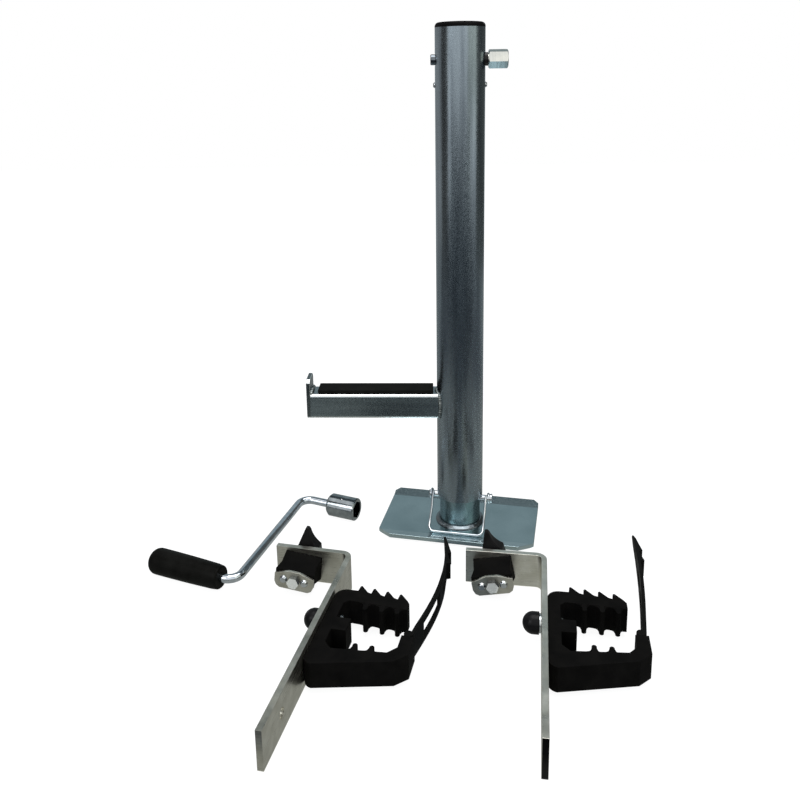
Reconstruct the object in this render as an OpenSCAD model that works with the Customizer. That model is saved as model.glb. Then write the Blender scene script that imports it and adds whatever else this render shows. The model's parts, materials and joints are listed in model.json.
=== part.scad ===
// Screw-type high-lift jack with its crank and two clamp brackets, in millimetres.
// The origin is on the floor, under the middle of the column. The lifting arm points to -X.

/* [Column] */
// Outer diameter of the column tube
tube_od = 57.15; // [50:0.05:64]
// Wall of the column tube
tube_wall = 3; // [2.5:0.1:4]
// Length of the column tube
tube_len = 571; // [500:1:650]
// Height of the rim of the plastic cap
cap_rim = 2.4; // [1.5:0.1:4]
// Height of the dome of the plastic cap
cap_dome = 4; // [2:0.1:7]
// Depth of the cap's plug inside the tube
cap_plug = 12; // [8:1:16]

/* [Lifting arm] */
// Side of the square arm tube
arm_side = 31.75; // [28:0.25:36]
// Wall of the arm tube
arm_wall = 3; // [2:0.1:4]
// Corner radius of the arm tube
arm_round = 4.5; // [3.5:0.1:6]
// Top of the arm above the lower end of the column
arm_rise = 138.6; // [100:1:200]
// Reach of the arm from the column's axis to its end plate
arm_reach = 184; // [150:1:220]
// Thickness of the end plate
lip_t = 5; // [4:0.5:8]
// Height of the end plate above the arm
lip_rise = 18.5; // [12:0.5:30]
// Leg of the weld fillets
weld_leg = 4; // [3:0.1:5]
// Thickness of the rubber pad
pad_t = 4.5; // [3:0.1:8]
// Width of the rubber pad
pad_w = 25.4; // [20:0.1:27]
// Gap from the end plate to the pad
pad_gap_lip = 9; // [6:0.5:16]
// Gap from the column to the pad
pad_gap_tube = 4.4; // [4.2:0.1:8]

/* [Drive head] */
// Distance of the drive shaft below the top of the tube
shaft_drop = 35.1; // [34:0.1:44]
// Diameter of the drive shaft
shaft_d = 12; // [11:0.5:13]
// How far the left end of the shaft stands out of the column
shaft_stub = 5; // [3:0.5:8]
// Width across the flats of the hexagonal drive
hex_af = 19; // [17:0.5:21]
// Length of the hexagonal drive
hex_len = 22; // [16:0.5:30]
// Outer diameter of the shaft bushes
bush_od = 15; // [14.5:0.1:16]
// How far the right bush stands out of the column
bush_out = 3; // [2:0.1:5]
// Teeth of the bevel pinion
pinion_teeth = 12; // [12:1:12]
// Teeth of the bevel gear
gear_teeth = 18; // [18:1:18]
// Pitch radius of the bevel gear
gear_r = 20; // [19:0.1:20.5]
// Length of the bevel teeth
tooth_len = 7; // [5:0.1:7.5]
// Drop from the shaft to the bearing plate's screws
plate_drop = 28.1; // [28:0.1:34]
// Thickness of the bearing plate
bearing_t = 10; // [8:0.1:10]
// Diameter of the bearing plate's screws
screw_pin_d = 5; // [4:0.1:6]

/* [Lifting screw and ram] */
// Wall of the ram tube
ram_wall = 3; // [2.5:0.1:4]
// Gap between ram and column, on the radius
ram_gap = 0.28; // [0.2:0.01:0.5]
// Visible length of the ram between foot and column
ram_show = 36.4; // [34:0.1:60]
// Distance of the ram's top below the thrust bearing's collar
ram_top_gap = 30; // [20:1:60]
// Diameter of the lifting screw
screw_d = 20; // [18:0.5:22]
// Diameter of the screw's upper journal
journal_d = 12; // [10:0.5:13]
// Height of the lifting nut
nut_h = 26; // [20:1:36]
// Travel of the column on the ram
travel = 320; // [280:1:340]
// Diameter of the bearing balls
ball_d = 5; // [4:0.1:5]
// Number of bearing balls
ball_count = 10; // [6:1:12]

/* [Foot] */
// Width of the foot plate
plate_w = 193; // [160:1:240]
// Depth of the foot plate
plate_d = 120; // [110:1:160]
// Thickness of the foot plate
plate_t = 4.8; // [3:0.1:8]
// Diameter of the drain hole in the plate under the spigot
drain_d = 10; // [6:0.5:12]
// Distance of the drain hole from the ram's axis
drain_x = 10; // [7:0.5:11]
// Length of the turned-up edges
flange = 16; // [6:0.5:18]
// Rise of the turned-up edges in degrees
flange_angle = 13; // [5:1:25]
// Corner cut at the front of the foot plate
cut_front = 18; // [8:1:24]
// Corner cut at the rear of the foot plate
cut_rear = 7; // [4:1:16]
// Turn of the foot about the column in degrees
foot_turn = -10.3; // [-20:0.1:20]
// Outer diameter of the collar round the ram
collar_od = 62; // [58:0.5:72]
// Height of that collar
collar_h = 4; // [3:0.5:8]
// Diameter of the lock pin
pin_d = 7.5; // [6:0.1:9]
// Length of the lock pin without its head
pin_len = 76; // [74:0.5:90]
// Diameter of the wire of the bail
wire_d = 3; // [2:0.1:3.6]
// Length of the bail from the pin to its cross wire
bail_len = 50; // [46:0.5:54]
// Half width of the bail, at the middle of the wire
bail_half = 33.5; // [33:0.1:36]

/* [Crank] */
// Diameter of the crank's rod
rod_d = 10; // [8:0.1:12]
// Throw of the crank, between its two bends
throw = 192.6; // [150:1:230]
// How far the rod turns at each bend, in degrees
bend_deg = 97; // [90:0.5:100]
// Radius of each bend, at the middle of the rod
bend_r = 14; // [12:0.5:18]
// Length from the first bend to the grip's free end
grip_reach = 114.6; // [112:0.1:130]
// Length from the second bend to the socket's mouth
socket_reach = 79; // [70:0.1:90]
// Largest diameter of the grip
grip_d = 30; // [26:0.1:34]
// Length of the grip
grip_len = 96; // [80:1:98]
// Outer diameter of the socket
socket_d = 28.5; // [26:0.1:30]
// Length of the socket
socket_len = 39; // [34:0.5:46]
// Depth of the hexagonal mouth
mouth_depth = 23; // [16:0.5:26]
// Turn of the crank on the floor in degrees
crank_turn = -14.5; // [-30:0.5:10]
// Place of the first bend on the floor
crank_x = -254.5; // [-300:0.5:-240]
// Place of the first bend on the floor, in depth
crank_y = -156; // [-200:0.5:-120]

/* [Brackets] */
// Height of the flat bar
bar_h = 40; // [36:0.5:50]
// Thickness of the flat bar
bar_t = 6; // [4:0.1:8]
// Length of the long leg
long_leg = 269; // [250:1:320]
// Length of the short leg
short_leg = 90; // [86:1:110]
// Outer radius of the bend
bar_bend = 12; // [10:0.5:16]
// Diameter of the mounting hole near the end
hole_d = 10; // [6:0.1:12]
// Distance of that hole from the end of the bar
hole_from_end = 44; // [16:1:60]
// Place of the left bracket's corner
left_x = -123.5; // [-140:0.5:-110]
// Place of the left bracket's corner, in depth
left_y = -135.5; // [-150:0.5:-130]
// Turn of the left bracket in degrees
left_turn = -11.1; // [-14:0.1:-6]
// Place of the right bracket's corner
right_x = 92.5; // [85:0.5:100]
// Place of the right bracket's corner, in depth
right_y = -135.5; // [-150:0.5:-130]
// Turn of the right bracket in degrees
right_turn = -7; // [-9:0.1:-4]

/* [Clamps] */
// Height of the rubber clamp
clamp_h = 27; // [22:0.5:32]
// Distance of the clamp's bolt from the bracket's corner
clamp_y = 96; // [90:1:110]
// Width of the clamp, away from the bar
clamp_w = 96; // [92:0.5:100]
// Thickness of the clamp's base
base_t = 13; // [10:0.5:16]
// Thickness of the clamp's rear wall
wall_t = 18; // [14:0.5:20]
// Depth of the clamp's cavity
cavity = 72; // [66:1:74]
// Distance of the rear wall's inner face from the bolt
cavity_rear = 19; // [16:0.5:22]
// Number of hooks on the rear wall
hooks = 4; // [4:1:4]
// Distance between the hooks
hook_pitch = 14.7; // [13:0.1:15]
// Height of the hooks
hook_h = 9; // [5:0.1:11]
// Diameter of the clamp's bolt
bolt_d = 8; // [6:0.1:9]
// Thickness of the strap
strap_t = 4.5; // [3.5:0.1:5]
// Length of the strap, from its root to its tip
strap_len = 198; // [180:1:205]
// Outward bow of the left strap
left_bow = 13.5; // [8:0.5:15]
// How far the tip of the left strap stands out from its root
left_tip = -3; // [-4:0.5:4]
// Outward bow of the right strap
right_bow = 3.5; // [3:0.5:12]
// How far the tip of the right strap stands out from its root
right_tip = 10; // [2:0.5:14]

/* [Anchors] */
// Width of the rubber block
block_w = 45; // [40:0.5:48]
// Height of the rubber block
block_h = 28; // [24:0.5:29]
// Depth of the rubber block
block_d = 30; // [24:0.5:40]
// Distance of the anchor from the bracket's corner
anchor_x = 58; // [55:0.5:60]
// Height of the anchor's end plate
end_h = 22; // [18:0.5:24]
// Thickness of the anchor's end plate
end_t = 3; // [2:0.1:4]
// Diameter of the anchor's rod
anchor_d = 8; // [6:0.1:9]
// Distance of the lever's pin behind the bar
lever_out = 11; // [10:0.1:13]
// Length of the lever above its pin
lever_len = 37; // [32:0.5:42]
// Width of the lever at its pin
lever_w = 26; // [22:0.5:28]
// Diameter of the lever's pin
lever_pin_d = 5; // [4:0.1:6]
// Turn of the left anchor about its rod in degrees
left_roll = 6; // [-8:0.5:8]
// Turn of the right anchor about its rod in degrees
right_roll = -11; // [-12:0.5:8]

/* [Hidden] */
$fn = 64;

// Clearances
cut = 1;
run_fit = 0.05;
seat = 0.1;
apart = 0.3;

// Heights up the column
tube_z = plate_t + ram_show;
tube_top = tube_z + tube_len;
tube_id = tube_od - 2 * tube_wall;
shaft_z = tube_top - shaft_drop;
bearing_z = shaft_z - plate_drop;
bearing_top = bearing_z + bearing_t / 2;
bearing_low = bearing_z - bearing_t / 2;
race_t = 2.4;
race_od = 34;
ball_r = 12;
upper_race_z = bearing_low - race_t;
lower_race_z = upper_race_z - seat - ball_d - race_t;
collar_t = 4;
screw_collar_z = lower_race_z - collar_t;
screw_collar_d = 28;

// Ram and screw
ram_od = tube_id - 2 * ram_gap;
ram_id = ram_od - 2 * ram_wall;
ram_top = screw_collar_z - ram_top_gap;
nut_z = ram_top - nut_h;
stop_h = 6;
stop_d = 32;
screw_low = nut_z - travel - stop_h - 2 * seat - 16;

// Lock pin and bail
pin_z = tube_z - pin_d / 2 - 1;
pin_head = 3;
eye_r = pin_d / 2 + run_fit + wire_d / 2;
bail_round = 7;
bail_drop = asin((pin_z - plate_t - wire_d / 2 - apart) / bail_len);

// Arm
arm_top = tube_z + arm_rise;
arm_mid = arm_top - arm_side / 2;

// Bevel gears, with their common apex on the shaft's axis
gear_cone = atan(gear_teeth / pinion_teeth);
cone_len = gear_r / sin(gear_cone);
tooth_up = 1.4;
tooth_down = 1.8;
tooth_half = 1.35;
tooth_side = tan(20);
gear_back = 21;
gear_boss = shaft_z - gear_back - bearing_top - apart;
hub_d = shaft_d + 5;

// Bushes and shaft
flange_r = 10;
flange_t = 1.4;
flange_x = sqrt(pow(tube_id / 2, 2) - pow(flange_r, 2)) - flange_t;
hex_x = tube_od / 2 + bush_out + 0.4;
hex_turn = 14.5;

// Crank
rod_z = grip_d / 2;
grip_wall_end = 6;
socket_rear = socket_reach - socket_len;
ball_hole = 4;

// Brackets
leg_mid = bar_h / 2;
clamp_z = leg_mid - clamp_h / 2;
front_in = cavity_rear - cavity;
rear_out = cavity_rear + wall_t;
block_x = clamp_w - 13;
web_reach = 15;
web_w = 19;
shelf_h = 5;
hinge_x = clamp_w - 7;
hinge_y = front_in + 34;
hinge_r = 4.5;

// Anchor
lever_r = lever_out - apart;
fork = 6.6;
eye_t = 6;

// A ring standing on its lower face
module ring(od, id, h) {
    difference() {
        cylinder(d = od, h = h);
        translate([0, 0, -cut]) cylinder(d = id, h = h + 2 * cut);
    }
}

// A rectangle with round corners, about its middle
module round_rect(w, d, r) {
    square([w - 2 * r, d], center = true);
    square([w, d - 2 * r], center = true);
    for (x = [-1, 1], y = [-1, 1])
        translate([x * (w / 2 - r), y * (d / 2 - r)]) circle(r = r, $fn = 48);
}

// Points of an arc, from angle a to angle b
function arc(x, y, r, a, b, n = 6) =
    [for (i = [0:n]) let (t = a + (b - a) * i / n) [x + r * cos(t), y + r * sin(t)]];

// Places a piece that turns with the foot
module on_foot() {
    rotate([0, 0, foot_turn]) children();
}

// Points +Z along +X
module along_x() {
    rotate([0, 90, 0]) children();
}

// Foot plate: a flat middle with its front and rear edges turned up, and four cut corners
module foot_plate() {
    run = flange * cos(flange_angle);
    rise = flange * sin(flange_angle);
    edge = plate_d / 2;
    bend = edge - run;
    tip_y = edge - plate_t * sin(flange_angle);
    tip_z = rise + plate_t * cos(flange_angle);
    inner = bend - plate_t * tan(flange_angle / 2);
    w = plate_w / 2;
    color("lightslategray") difference() {
        on_foot() intersection() {
            rotate([90, 0, 90]) translate([0, 0, -w]) linear_extrude(plate_w) polygon([
                [-bend, 0], [bend, 0], [edge, rise], [tip_y, tip_z], [inner, plate_t],
                [-inner, plate_t], [-tip_y, tip_z], [-edge, rise]
            ]);
            translate([0, 0, -cut]) linear_extrude(rise + plate_t + 2 * cut) polygon([
                [-w, cut_front - edge], [cut_front - w, -edge], [w - cut_front, -edge],
                [w, cut_front - edge], [w, edge - cut_rear], [w - cut_rear, edge],
                [cut_rear - w, edge], [-w, edge - cut_rear]
            ]);
        }
        translate([drain_x, 0, -cut]) cylinder(d = drain_d, h = plate_t + 2 * cut);
    }
}

// Collar welded to the plate round the ram, with a sloping shoulder
module foot_collar() {
    inner = ram_od / 2 + seat;
    color("gainsboro") translate([0, 0, plate_t]) rotate_extrude() polygon([
        [inner, 0], [collar_od / 2, 0], [collar_od / 2 - 0.6, collar_h * 0.4],
        [inner + 1.6, collar_h], [inner, collar_h]
    ]);
}

// Cross hole for the lock pin
module pin_hole(gap) {
    on_foot() translate([-tube_od, 0, pin_z]) along_x() cylinder(d = pin_d + gap, h = 2 * tube_od);
}

// Spigot welded to the plate, inside the ram
module foot_spigot() {
    color("slategray") difference() {
        translate([0, 0, plate_t]) ring(ram_id - 2 * seat, ram_id - 10, pin_z + 8 - plate_t);
        pin_hole(2 * seat);
    }
}

// Ram: the inner tube that stands on the foot
module ram_tube() {
    color("slategray") difference() {
        translate([0, 0, plate_t]) ring(ram_od, ram_id, ram_top - plate_t);
        pin_hole(2 * seat);
        translate([-ram_od, 0, nut_z + nut_h / 2]) along_x()
            cylinder(d = screw_pin_d, h = 2 * ram_od);
    }
}

// Bronze nut held in the top of the ram
module screw_nut() {
    color("goldenrod") difference() {
        translate([0, 0, nut_z]) ring(ram_id, screw_d + 2 * run_fit, nut_h);
        for (s = [-1, 1]) scale([s, 1, 1])
            translate([screw_d / 2 + 3, 0, nut_z + nut_h / 2]) along_x()
                cylinder(d = screw_pin_d, h = ram_od);
    }
}

// Two roll pins that hold the nut
module nut_pins() {
    reach = screw_d / 2 + 3;
    color("dimgray") for (a = [0, 180]) rotate([0, 0, a])
        translate([reach, 0, nut_z + nut_h / 2]) along_x()
            cylinder(d = screw_pin_d, h = ram_od / 2 - seat - reach);
}

// Lock pin through ram and spigot, with a flat head on the right
module lock_pin() {
    color("silver") on_foot() translate([-pin_len / 2 - 1, 0, pin_z]) along_x() {
        cylinder(d1 = pin_d - 2, d2 = pin_d, h = 1);
        translate([0, 0, 1]) cylinder(d = pin_d, h = pin_len);
        translate([0, 0, 1 + pin_len]) cylinder(d = pin_d + 4, h = pin_head);
    }
}

// Wire bail: two eyes on the pin, two legs and a cross wire
module wire_bail() {
    leg = bail_len - bail_round;
    color("gainsboro") on_foot() translate([0, 0, pin_z]) rotate([bail_drop, 0, 0]) {
        for (s = [-1, 1]) translate([s * bail_half, 0, 0]) {
            along_x() rotate_extrude() translate([eye_r, 0]) circle(d = wire_d, $fn = 24);
            translate([0, -eye_r, 0]) rotate([90, 0, 0]) cylinder(d = wire_d, h = leg - eye_r, $fn = 24);
        }
        translate([bail_half - bail_round, -leg, 0]) rotate([0, 0, -90])
            rotate_extrude(angle = 90) translate([bail_round, 0]) circle(d = wire_d, $fn = 24);
        translate([bail_round - bail_half, -leg, 0]) rotate([0, 0, 180])
            rotate_extrude(angle = 90) translate([bail_round, 0]) circle(d = wire_d, $fn = 24);
        translate([bail_round - bail_half, -bail_len, 0]) along_x()
            cylinder(d = wire_d, h = 2 * (bail_half - bail_round), $fn = 24);
    }
}

// Column: the outer tube, bored for the drive shaft and the bearing plate's screws
module column_tube() {
    color("slategray") difference() {
        translate([0, 0, tube_z]) ring(tube_od, tube_id, tube_len);
        translate([0, 0, shaft_z]) along_x() {
            cylinder(d = bush_od + 2 * seat, h = tube_od);
            translate([0, 0, -tube_od]) cylinder(d = bush_od + 2 * seat, h = tube_od);
        }
        translate([-tube_od, 0, bearing_z]) along_x() cylinder(d = screw_pin_d, h = 2 * tube_od);
    }
}

// Square arm tube, coped to the column
module lift_arm() {
    color("slategray") difference() {
        translate([-arm_reach, 0, arm_mid]) rotate([90, 0, 90]) linear_extrude(arm_reach) difference() {
            round_rect(arm_side, arm_side, arm_round);
            round_rect(arm_side - 2 * arm_wall, arm_side - 2 * arm_wall, arm_round - arm_wall + 0.5);
        }
        translate([0, 0, arm_mid - arm_side]) cylinder(d = tube_od, h = 2 * arm_side);
    }
}

// End plate that closes the arm and stands up as a lip, with trimmed top corners
module arm_end_plate() {
    w = arm_side / 2 - 0.4;
    low = -arm_side / 2;
    top = arm_side / 2 + lip_rise;
    trim = 4;
    color("slategray") translate([-arm_reach - lip_t, 0, arm_mid]) rotate([90, 0, 90])
        linear_extrude(lip_t) polygon(concat(
            arc(trim - w, low + trim, trim, 180, 270),
            arc(w - trim, low + trim, trim, 270, 360),
            [[w, top - trim], [w - trim, top], [trim - w, top], [-w, top - trim]]
        ));
}

// Weld fillets: arm to column on four sides, and lip to arm
module arm_welds() {
    half = arm_side / 2;
    span = asin((half - 1) / (tube_od / 2));
    color("darkgray") {
        translate([0, 0, arm_top]) rotate([0, 0, 180 - span]) rotate_extrude(angle = 2 * span)
            polygon([[tube_od / 2, 0], [tube_od / 2 + weld_leg, 0], [tube_od / 2, weld_leg]]);
        translate([0, 0, arm_top - arm_side]) rotate([0, 0, 180 - span]) rotate_extrude(angle = 2 * span)
            polygon([[tube_od / 2, 0], [tube_od / 2, -weld_leg], [tube_od / 2 + weld_leg, 0]]);
        for (s = [-1, 1]) difference() {
            translate([0, 0, arm_mid - half + arm_round]) linear_extrude(arm_side - 2 * arm_round)
                polygon([[-tube_od / 2 - 1, s * half], [-tube_od / 3, s * half],
                         [-tube_od / 3, s * (half + 1.3 * weld_leg)]]);
            translate([0, 0, arm_mid - arm_side]) cylinder(d = tube_od, h = 2 * arm_side);
        }
        translate([-arm_reach, half - arm_round, arm_top]) rotate([90, 0, 0])
            linear_extrude(arm_side - 2 * arm_round) polygon([[0, 0], [weld_leg, 0], [0, weld_leg]]);
    }
}

// Rubber pad on the arm
module arm_pad() {
    left = -arm_reach + pad_gap_lip;
    right = -tube_od / 2 - pad_gap_tube;
    color([0.1, 0.1, 0.1]) translate([(left + right) / 2, 0, arm_top]) linear_extrude(pad_t)
        round_rect(right - left, pad_w, 1.5);
}

// Plastic cap: rim, dome and plug
module top_cap() {
    dome_d = tube_od - 1;
    dome_r = (pow(dome_d / 2, 2) + pow(cap_dome, 2)) / (2 * cap_dome);
    color([0.08, 0.08, 0.09]) translate([0, 0, tube_top]) {
        cylinder(d = tube_od, h = cap_rim);
        translate([0, 0, cap_rim]) intersection() {
            translate([0, 0, cap_dome - dome_r]) sphere(r = dome_r, $fn = 128);
            translate([0, 0, -0.01]) cylinder(d = dome_d, h = cap_dome + cut);
        }
        translate([0, 0, -cap_plug]) ring(tube_id - 2 * seat, tube_id - 5, cap_plug);
    }
}

// A flanged shaft bush that points to +X and ends at a given distance from the column's axis
module bush(end) {
    color("dimgray") difference() {
        translate([flange_x, 0, shaft_z]) along_x() {
            cylinder(r = flange_r, h = flange_t);
            cylinder(d = bush_od, h = end - flange_x);
        }
        translate([0, 0, shaft_z]) along_x() cylinder(d = shaft_d + 2 * run_fit, h = 2 * tube_od);
    }
}

module bush_right() bush(tube_od / 2 + bush_out);

module bush_left() rotate([0, 0, 180]) bush(tube_od / 2 - 0.5);

// Bearing plate that hangs the screw in the column
module bearing_plate() {
    color("gray") difference() {
        translate([0, 0, bearing_low]) ring(tube_id - 2 * seat, journal_d + 2 * run_fit, bearing_t);
        for (a = [0, 180]) rotate([0, 0, a]) translate([tube_id / 2 - 9, 0, bearing_z]) along_x()
            cylinder(d = screw_pin_d, h = tube_id);
    }
}

// Two button screws through the column into the bearing plate
module bearing_screws() {
    head_d = screw_pin_d + 1.8;
    color("silver") for (a = [0, 180]) rotate([0, 0, a])
        translate([tube_id / 2 - 9, 0, bearing_z]) along_x() {
            cylinder(d = screw_pin_d, h = 9 + tube_wall + 0.5);
            difference() {
                translate([0, 0, 9 + tube_wall + seat]) cylinder(d1 = head_d, d2 = head_d - 2.4, h = 1.9);
                translate([0, 0, 9 + tube_wall + 0.9]) cylinder(d = 2.6, h = 3, $fn = 6);
            }
        }
}

// Upper race of the thrust bearing
module race_upper() {
    color("silver") translate([0, 0, upper_race_z]) ring(race_od, journal_d + 2 * seat, race_t);
}

// Drive shaft with its hexagonal end
module drive_shaft() {
    left = tube_od / 2 + shaft_stub;
    rim = hex_af / cos(30) / 2 + 0.6;
    face = hex_af / 2 - 0.3;
    color("whitesmoke") translate([0, 0, shaft_z]) difference() {
        union() {
            translate([-left, 0, 0]) along_x() {
                cylinder(d1 = shaft_d - 1.6, d2 = shaft_d, h = 0.8);
                translate([0, 0, 0.8]) cylinder(d = shaft_d, h = left + hex_x - 0.8);
            }
            translate([hex_x, 0, 0]) intersection() {
                rotate([-hex_turn, 0, 0]) along_x()
                    cylinder(d = hex_af / cos(30), h = hex_len, $fn = 6);
                along_x() rotate_extrude() polygon([
                    [0, -0.01], [face, -0.01], [rim, 1.4], [rim, hex_len - 1.4], [face, hex_len + 0.01],
                    [0, hex_len + 0.01]
                ]);
            }
        }
        translate([pinion_pin_x(), 0, -shaft_d]) cylinder(d = 3, h = 2 * shaft_d);
    }
}

// Place of the pinion's roll pin along the shaft
function pinion_pin_x() = (cone_len - tooth_len) * sin(gear_cone) - 3.4;

// One straight bevel tooth on a cone about -Z, with its apex at the origin
module bevel_tooth(cone) {
    function corner(h, side, k) = k * [
        cone_len * sin(cone) + h * cos(cone),
        side * (tooth_half - h * tooth_side),
        -cone_len * cos(cone) + h * sin(cone)
    ];
    low = -tooth_down - 0.3;
    inner = (cone_len - tooth_len) / cone_len;
    polyhedron(
        points = [
            corner(low, -1, 1), corner(low, 1, 1), corner(tooth_up, 1, 1), corner(tooth_up, -1, 1),
            corner(low, -1, inner), corner(low, 1, inner), corner(tooth_up, 1, inner),
            corner(tooth_up, -1, inner)
        ],
        faces = [[3, 2, 1, 0], [4, 5, 6, 7], [0, 1, 5, 4], [1, 2, 6, 5], [2, 3, 7, 6], [3, 0, 4, 7]]
    );
}

// A bevel gear about -Z with its apex at the origin, its back and its bore
module bevel_gear(cone, teeth, back, hub_r, hub_top, bore) {
    root_x = cone_len * sin(cone) - tooth_down * cos(cone);
    root_z = -cone_len * cos(cone) - tooth_down * sin(cone);
    inner = (cone_len - tooth_len) / cone_len;
    difference() {
        union() {
            rotate_extrude() polygon([
                [0, -back], [root_x, -back], [root_x, root_z], [inner * root_x, inner * root_z],
                [min(hub_r, inner * root_x), inner * root_z], [min(hub_r, inner * root_x), -hub_top],
                [0, -hub_top]
            ]);
            for (i = [0:teeth - 1]) rotate([0, 0, i * 360 / teeth]) bevel_tooth(cone);
        }
        translate([0, 0, -back - cut]) cylinder(d = bore, h = back + cut);
    }
}

// Bevel pinion on the drive shaft, meshing below the shaft on its right
module drive_pinion() {
    back = cone_len * sin(gear_cone) + tooth_down * cos(gear_cone) + 0.2;
    color("dimgray") translate([0, 0, shaft_z]) difference() {
        rotate([0, -90, 0]) rotate([0, 0, 180 / pinion_teeth])
            bevel_gear(90 - gear_cone, pinion_teeth, back, hub_d / 2, pinion_pin_x() - 2.6, shaft_d);
        translate([pinion_pin_x(), 0, -hub_d]) cylinder(d = 3, h = 2 * hub_d);
    }
}

// Roll pin of the pinion
module pinion_pin() {
    color("silver") translate([pinion_pin_x(), 0, shaft_z - hub_d / 2 + 0.2])
        cylinder(d = 3, h = hub_d - 0.4);
}

// Retaining ring on the shaft, inside the left bush
module shaft_clip() {
    color("silver") translate([-flange_x + apart, 0, shaft_z]) along_x() ring(shaft_d + 6, shaft_d, 1.2);
}

// Lifting screw: stop thread, collar and journal in one bar
module lead_screw() {
    top = shaft_z - 11;
    color("silver") difference() {
        union() {
            translate([0, 0, screw_low]) cylinder(d = screw_d, h = screw_collar_z - screw_low);
            translate([0, 0, screw_collar_z]) cylinder(d = screw_collar_d, h = collar_t);
            translate([0, 0, screw_collar_z]) cylinder(d = journal_d, h = top - screw_collar_z);
        }
        translate([-gear_r, 0, shaft_z - gear_back + 3]) along_x() cylinder(d = 4, h = 2 * gear_r);
        translate([-stop_d, 0, screw_low + stop_h / 2 + 3]) along_x() cylinder(d = 3, h = 2 * stop_d);
    }
}

// Bevel gear on the top of the screw
module screw_gear() {
    color("dimgray") translate([0, 0, shaft_z]) difference() {
        union() {
            bevel_gear(gear_cone, gear_teeth, gear_back, 10, 10.8, journal_d);
            translate([0, 0, -gear_back - gear_boss]) ring(journal_d + 10, journal_d, gear_boss);
        }
        translate([-gear_r, 0, 3 - gear_back]) along_x() cylinder(d = 4, h = 2 * gear_r);
    }
}

// Roll pin of the gear
module gear_pin() {
    half = gear_r - 1.8;
    color("silver") translate([-half, 0, shaft_z - gear_back + 3]) along_x() cylinder(d = 4, h = 2 * half);
}

// Lower race of the thrust bearing, on the screw's collar
module race_lower() {
    color("silver") translate([0, 0, lower_race_z]) ring(race_od, journal_d, race_t);
}

// Ball cage
module thrust_cage() {
    h = 2;
    color("goldenrod") translate([0, 0, lower_race_z + race_t + (ball_d - h) / 2]) difference() {
        ring(race_od - 2, journal_d + 3, h);
        for (i = [0:ball_count - 1]) rotate([0, 0, i * 360 / ball_count])
            translate([ball_r, 0, -cut]) cylinder(d = ball_d + 2 * seat, h = h + 2 * cut);
    }
}

// Bearing balls
module thrust_balls() {
    color("white") translate([0, 0, lower_race_z + race_t + ball_d / 2])
        for (i = [0:ball_count - 1]) rotate([0, 0, i * 360 / ball_count])
            translate([ball_r, 0, 0]) sphere(d = ball_d, $fn = 24);
}

// Stop ring pinned to the lower end of the screw
module screw_stop() {
    color("dimgray") translate([0, 0, screw_low + 3]) difference() {
        ring(stop_d, screw_d, stop_h);
        translate([-stop_d, 0, stop_h / 2]) along_x() cylinder(d = 3, h = 2 * stop_d);
    }
}

// Places a piece that lies with the crank: the first bend at the origin, the throw along +Y
module on_crank() {
    translate([crank_x, crank_y, rod_z]) rotate([0, 0, crank_turn]) children();
}

// Turns +Z along the socket's leg, from the second bend outwards
module on_socket_leg() {
    on_crank() translate([0, throw, 0]) rotate([0, 0, 90 - bend_deg]) along_x() children();
}

// Turns +Z along the grip's leg, from the first bend outwards
module on_grip_leg() {
    on_crank() rotate([0, 0, 90 - bend_deg]) rotate([0, -90, 0]) children();
}

// One bend of the rod, a hair thicker than the straight lengths that end inside it
module rod_bend() {
    set = bend_r * tan(bend_deg / 2);
    translate([-bend_r, set, 0]) rotate([0, 0, -bend_deg]) rotate_extrude(angle = bend_deg)
        translate([bend_r, 0]) circle(d = rod_d + 0.2);
}

// Crank rod: grip leg, throw and socket leg with two bends
module crank_rod() {
    set = bend_r * tan(bend_deg / 2) - 0.6;
    color("lightsteelblue") {
        on_crank() translate([0, set, 0]) rotate([-90, 0, 0]) cylinder(d = rod_d, h = throw - 2 * set);
        on_crank() rod_bend();
        on_crank() translate([0, throw, 0]) rotate([0, 0, 180]) rod_bend();
        on_grip_leg() translate([0, 0, set]) cylinder(d = rod_d, h = grip_reach - set - grip_wall_end - 3);
        on_socket_leg() translate([0, 0, set]) cylinder(d = rod_d, h = socket_rear + 8 - set);
    }
}

// Hexagonal socket of the crank
module crank_socket() {
    neck = 3;
    edge = 1;
    color("gainsboro") difference() {
        on_socket_leg() translate([0, 0, socket_rear]) {
            cylinder(d1 = socket_d - 5, d2 = socket_d, h = neck);
            translate([0, 0, neck]) cylinder(d = socket_d, h = socket_len - neck - edge);
            translate([0, 0, socket_len - edge]) cylinder(d1 = socket_d, d2 = socket_d - 2 * edge, h = edge);
        }
        on_socket_leg() {
            translate([0, 0, socket_reach - mouth_depth])
                cylinder(d = (hex_af + 2 * apart) / cos(30), h = mouth_depth + cut, $fn = 6);
            cylinder(d = rod_d, h = socket_rear + 8);
            translate([0, 0, socket_reach - mouth_depth + 4]) rotate([0, -90, 20])
                cylinder(d = ball_hole, h = socket_d);
        }
    }
}

// Detent ball in the socket's wall
module socket_ball() {
    color("white") on_socket_leg() translate([0, 0, socket_reach - mouth_depth + 4])
        rotate([0, -90, 20]) translate([0, 0, socket_d / 2 - ball_hole / 2 + 0.5])
            sphere(d = ball_hole - 2 * seat, $fn = 24);
}

// Washer on the end of the rod, which keeps the grip on
module grip_clip() {
    color("silver") on_grip_leg() translate([0, 0, grip_reach - grip_wall_end - 5])
        ring(rod_d + 5, rod_d, 1.5);
}

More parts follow.
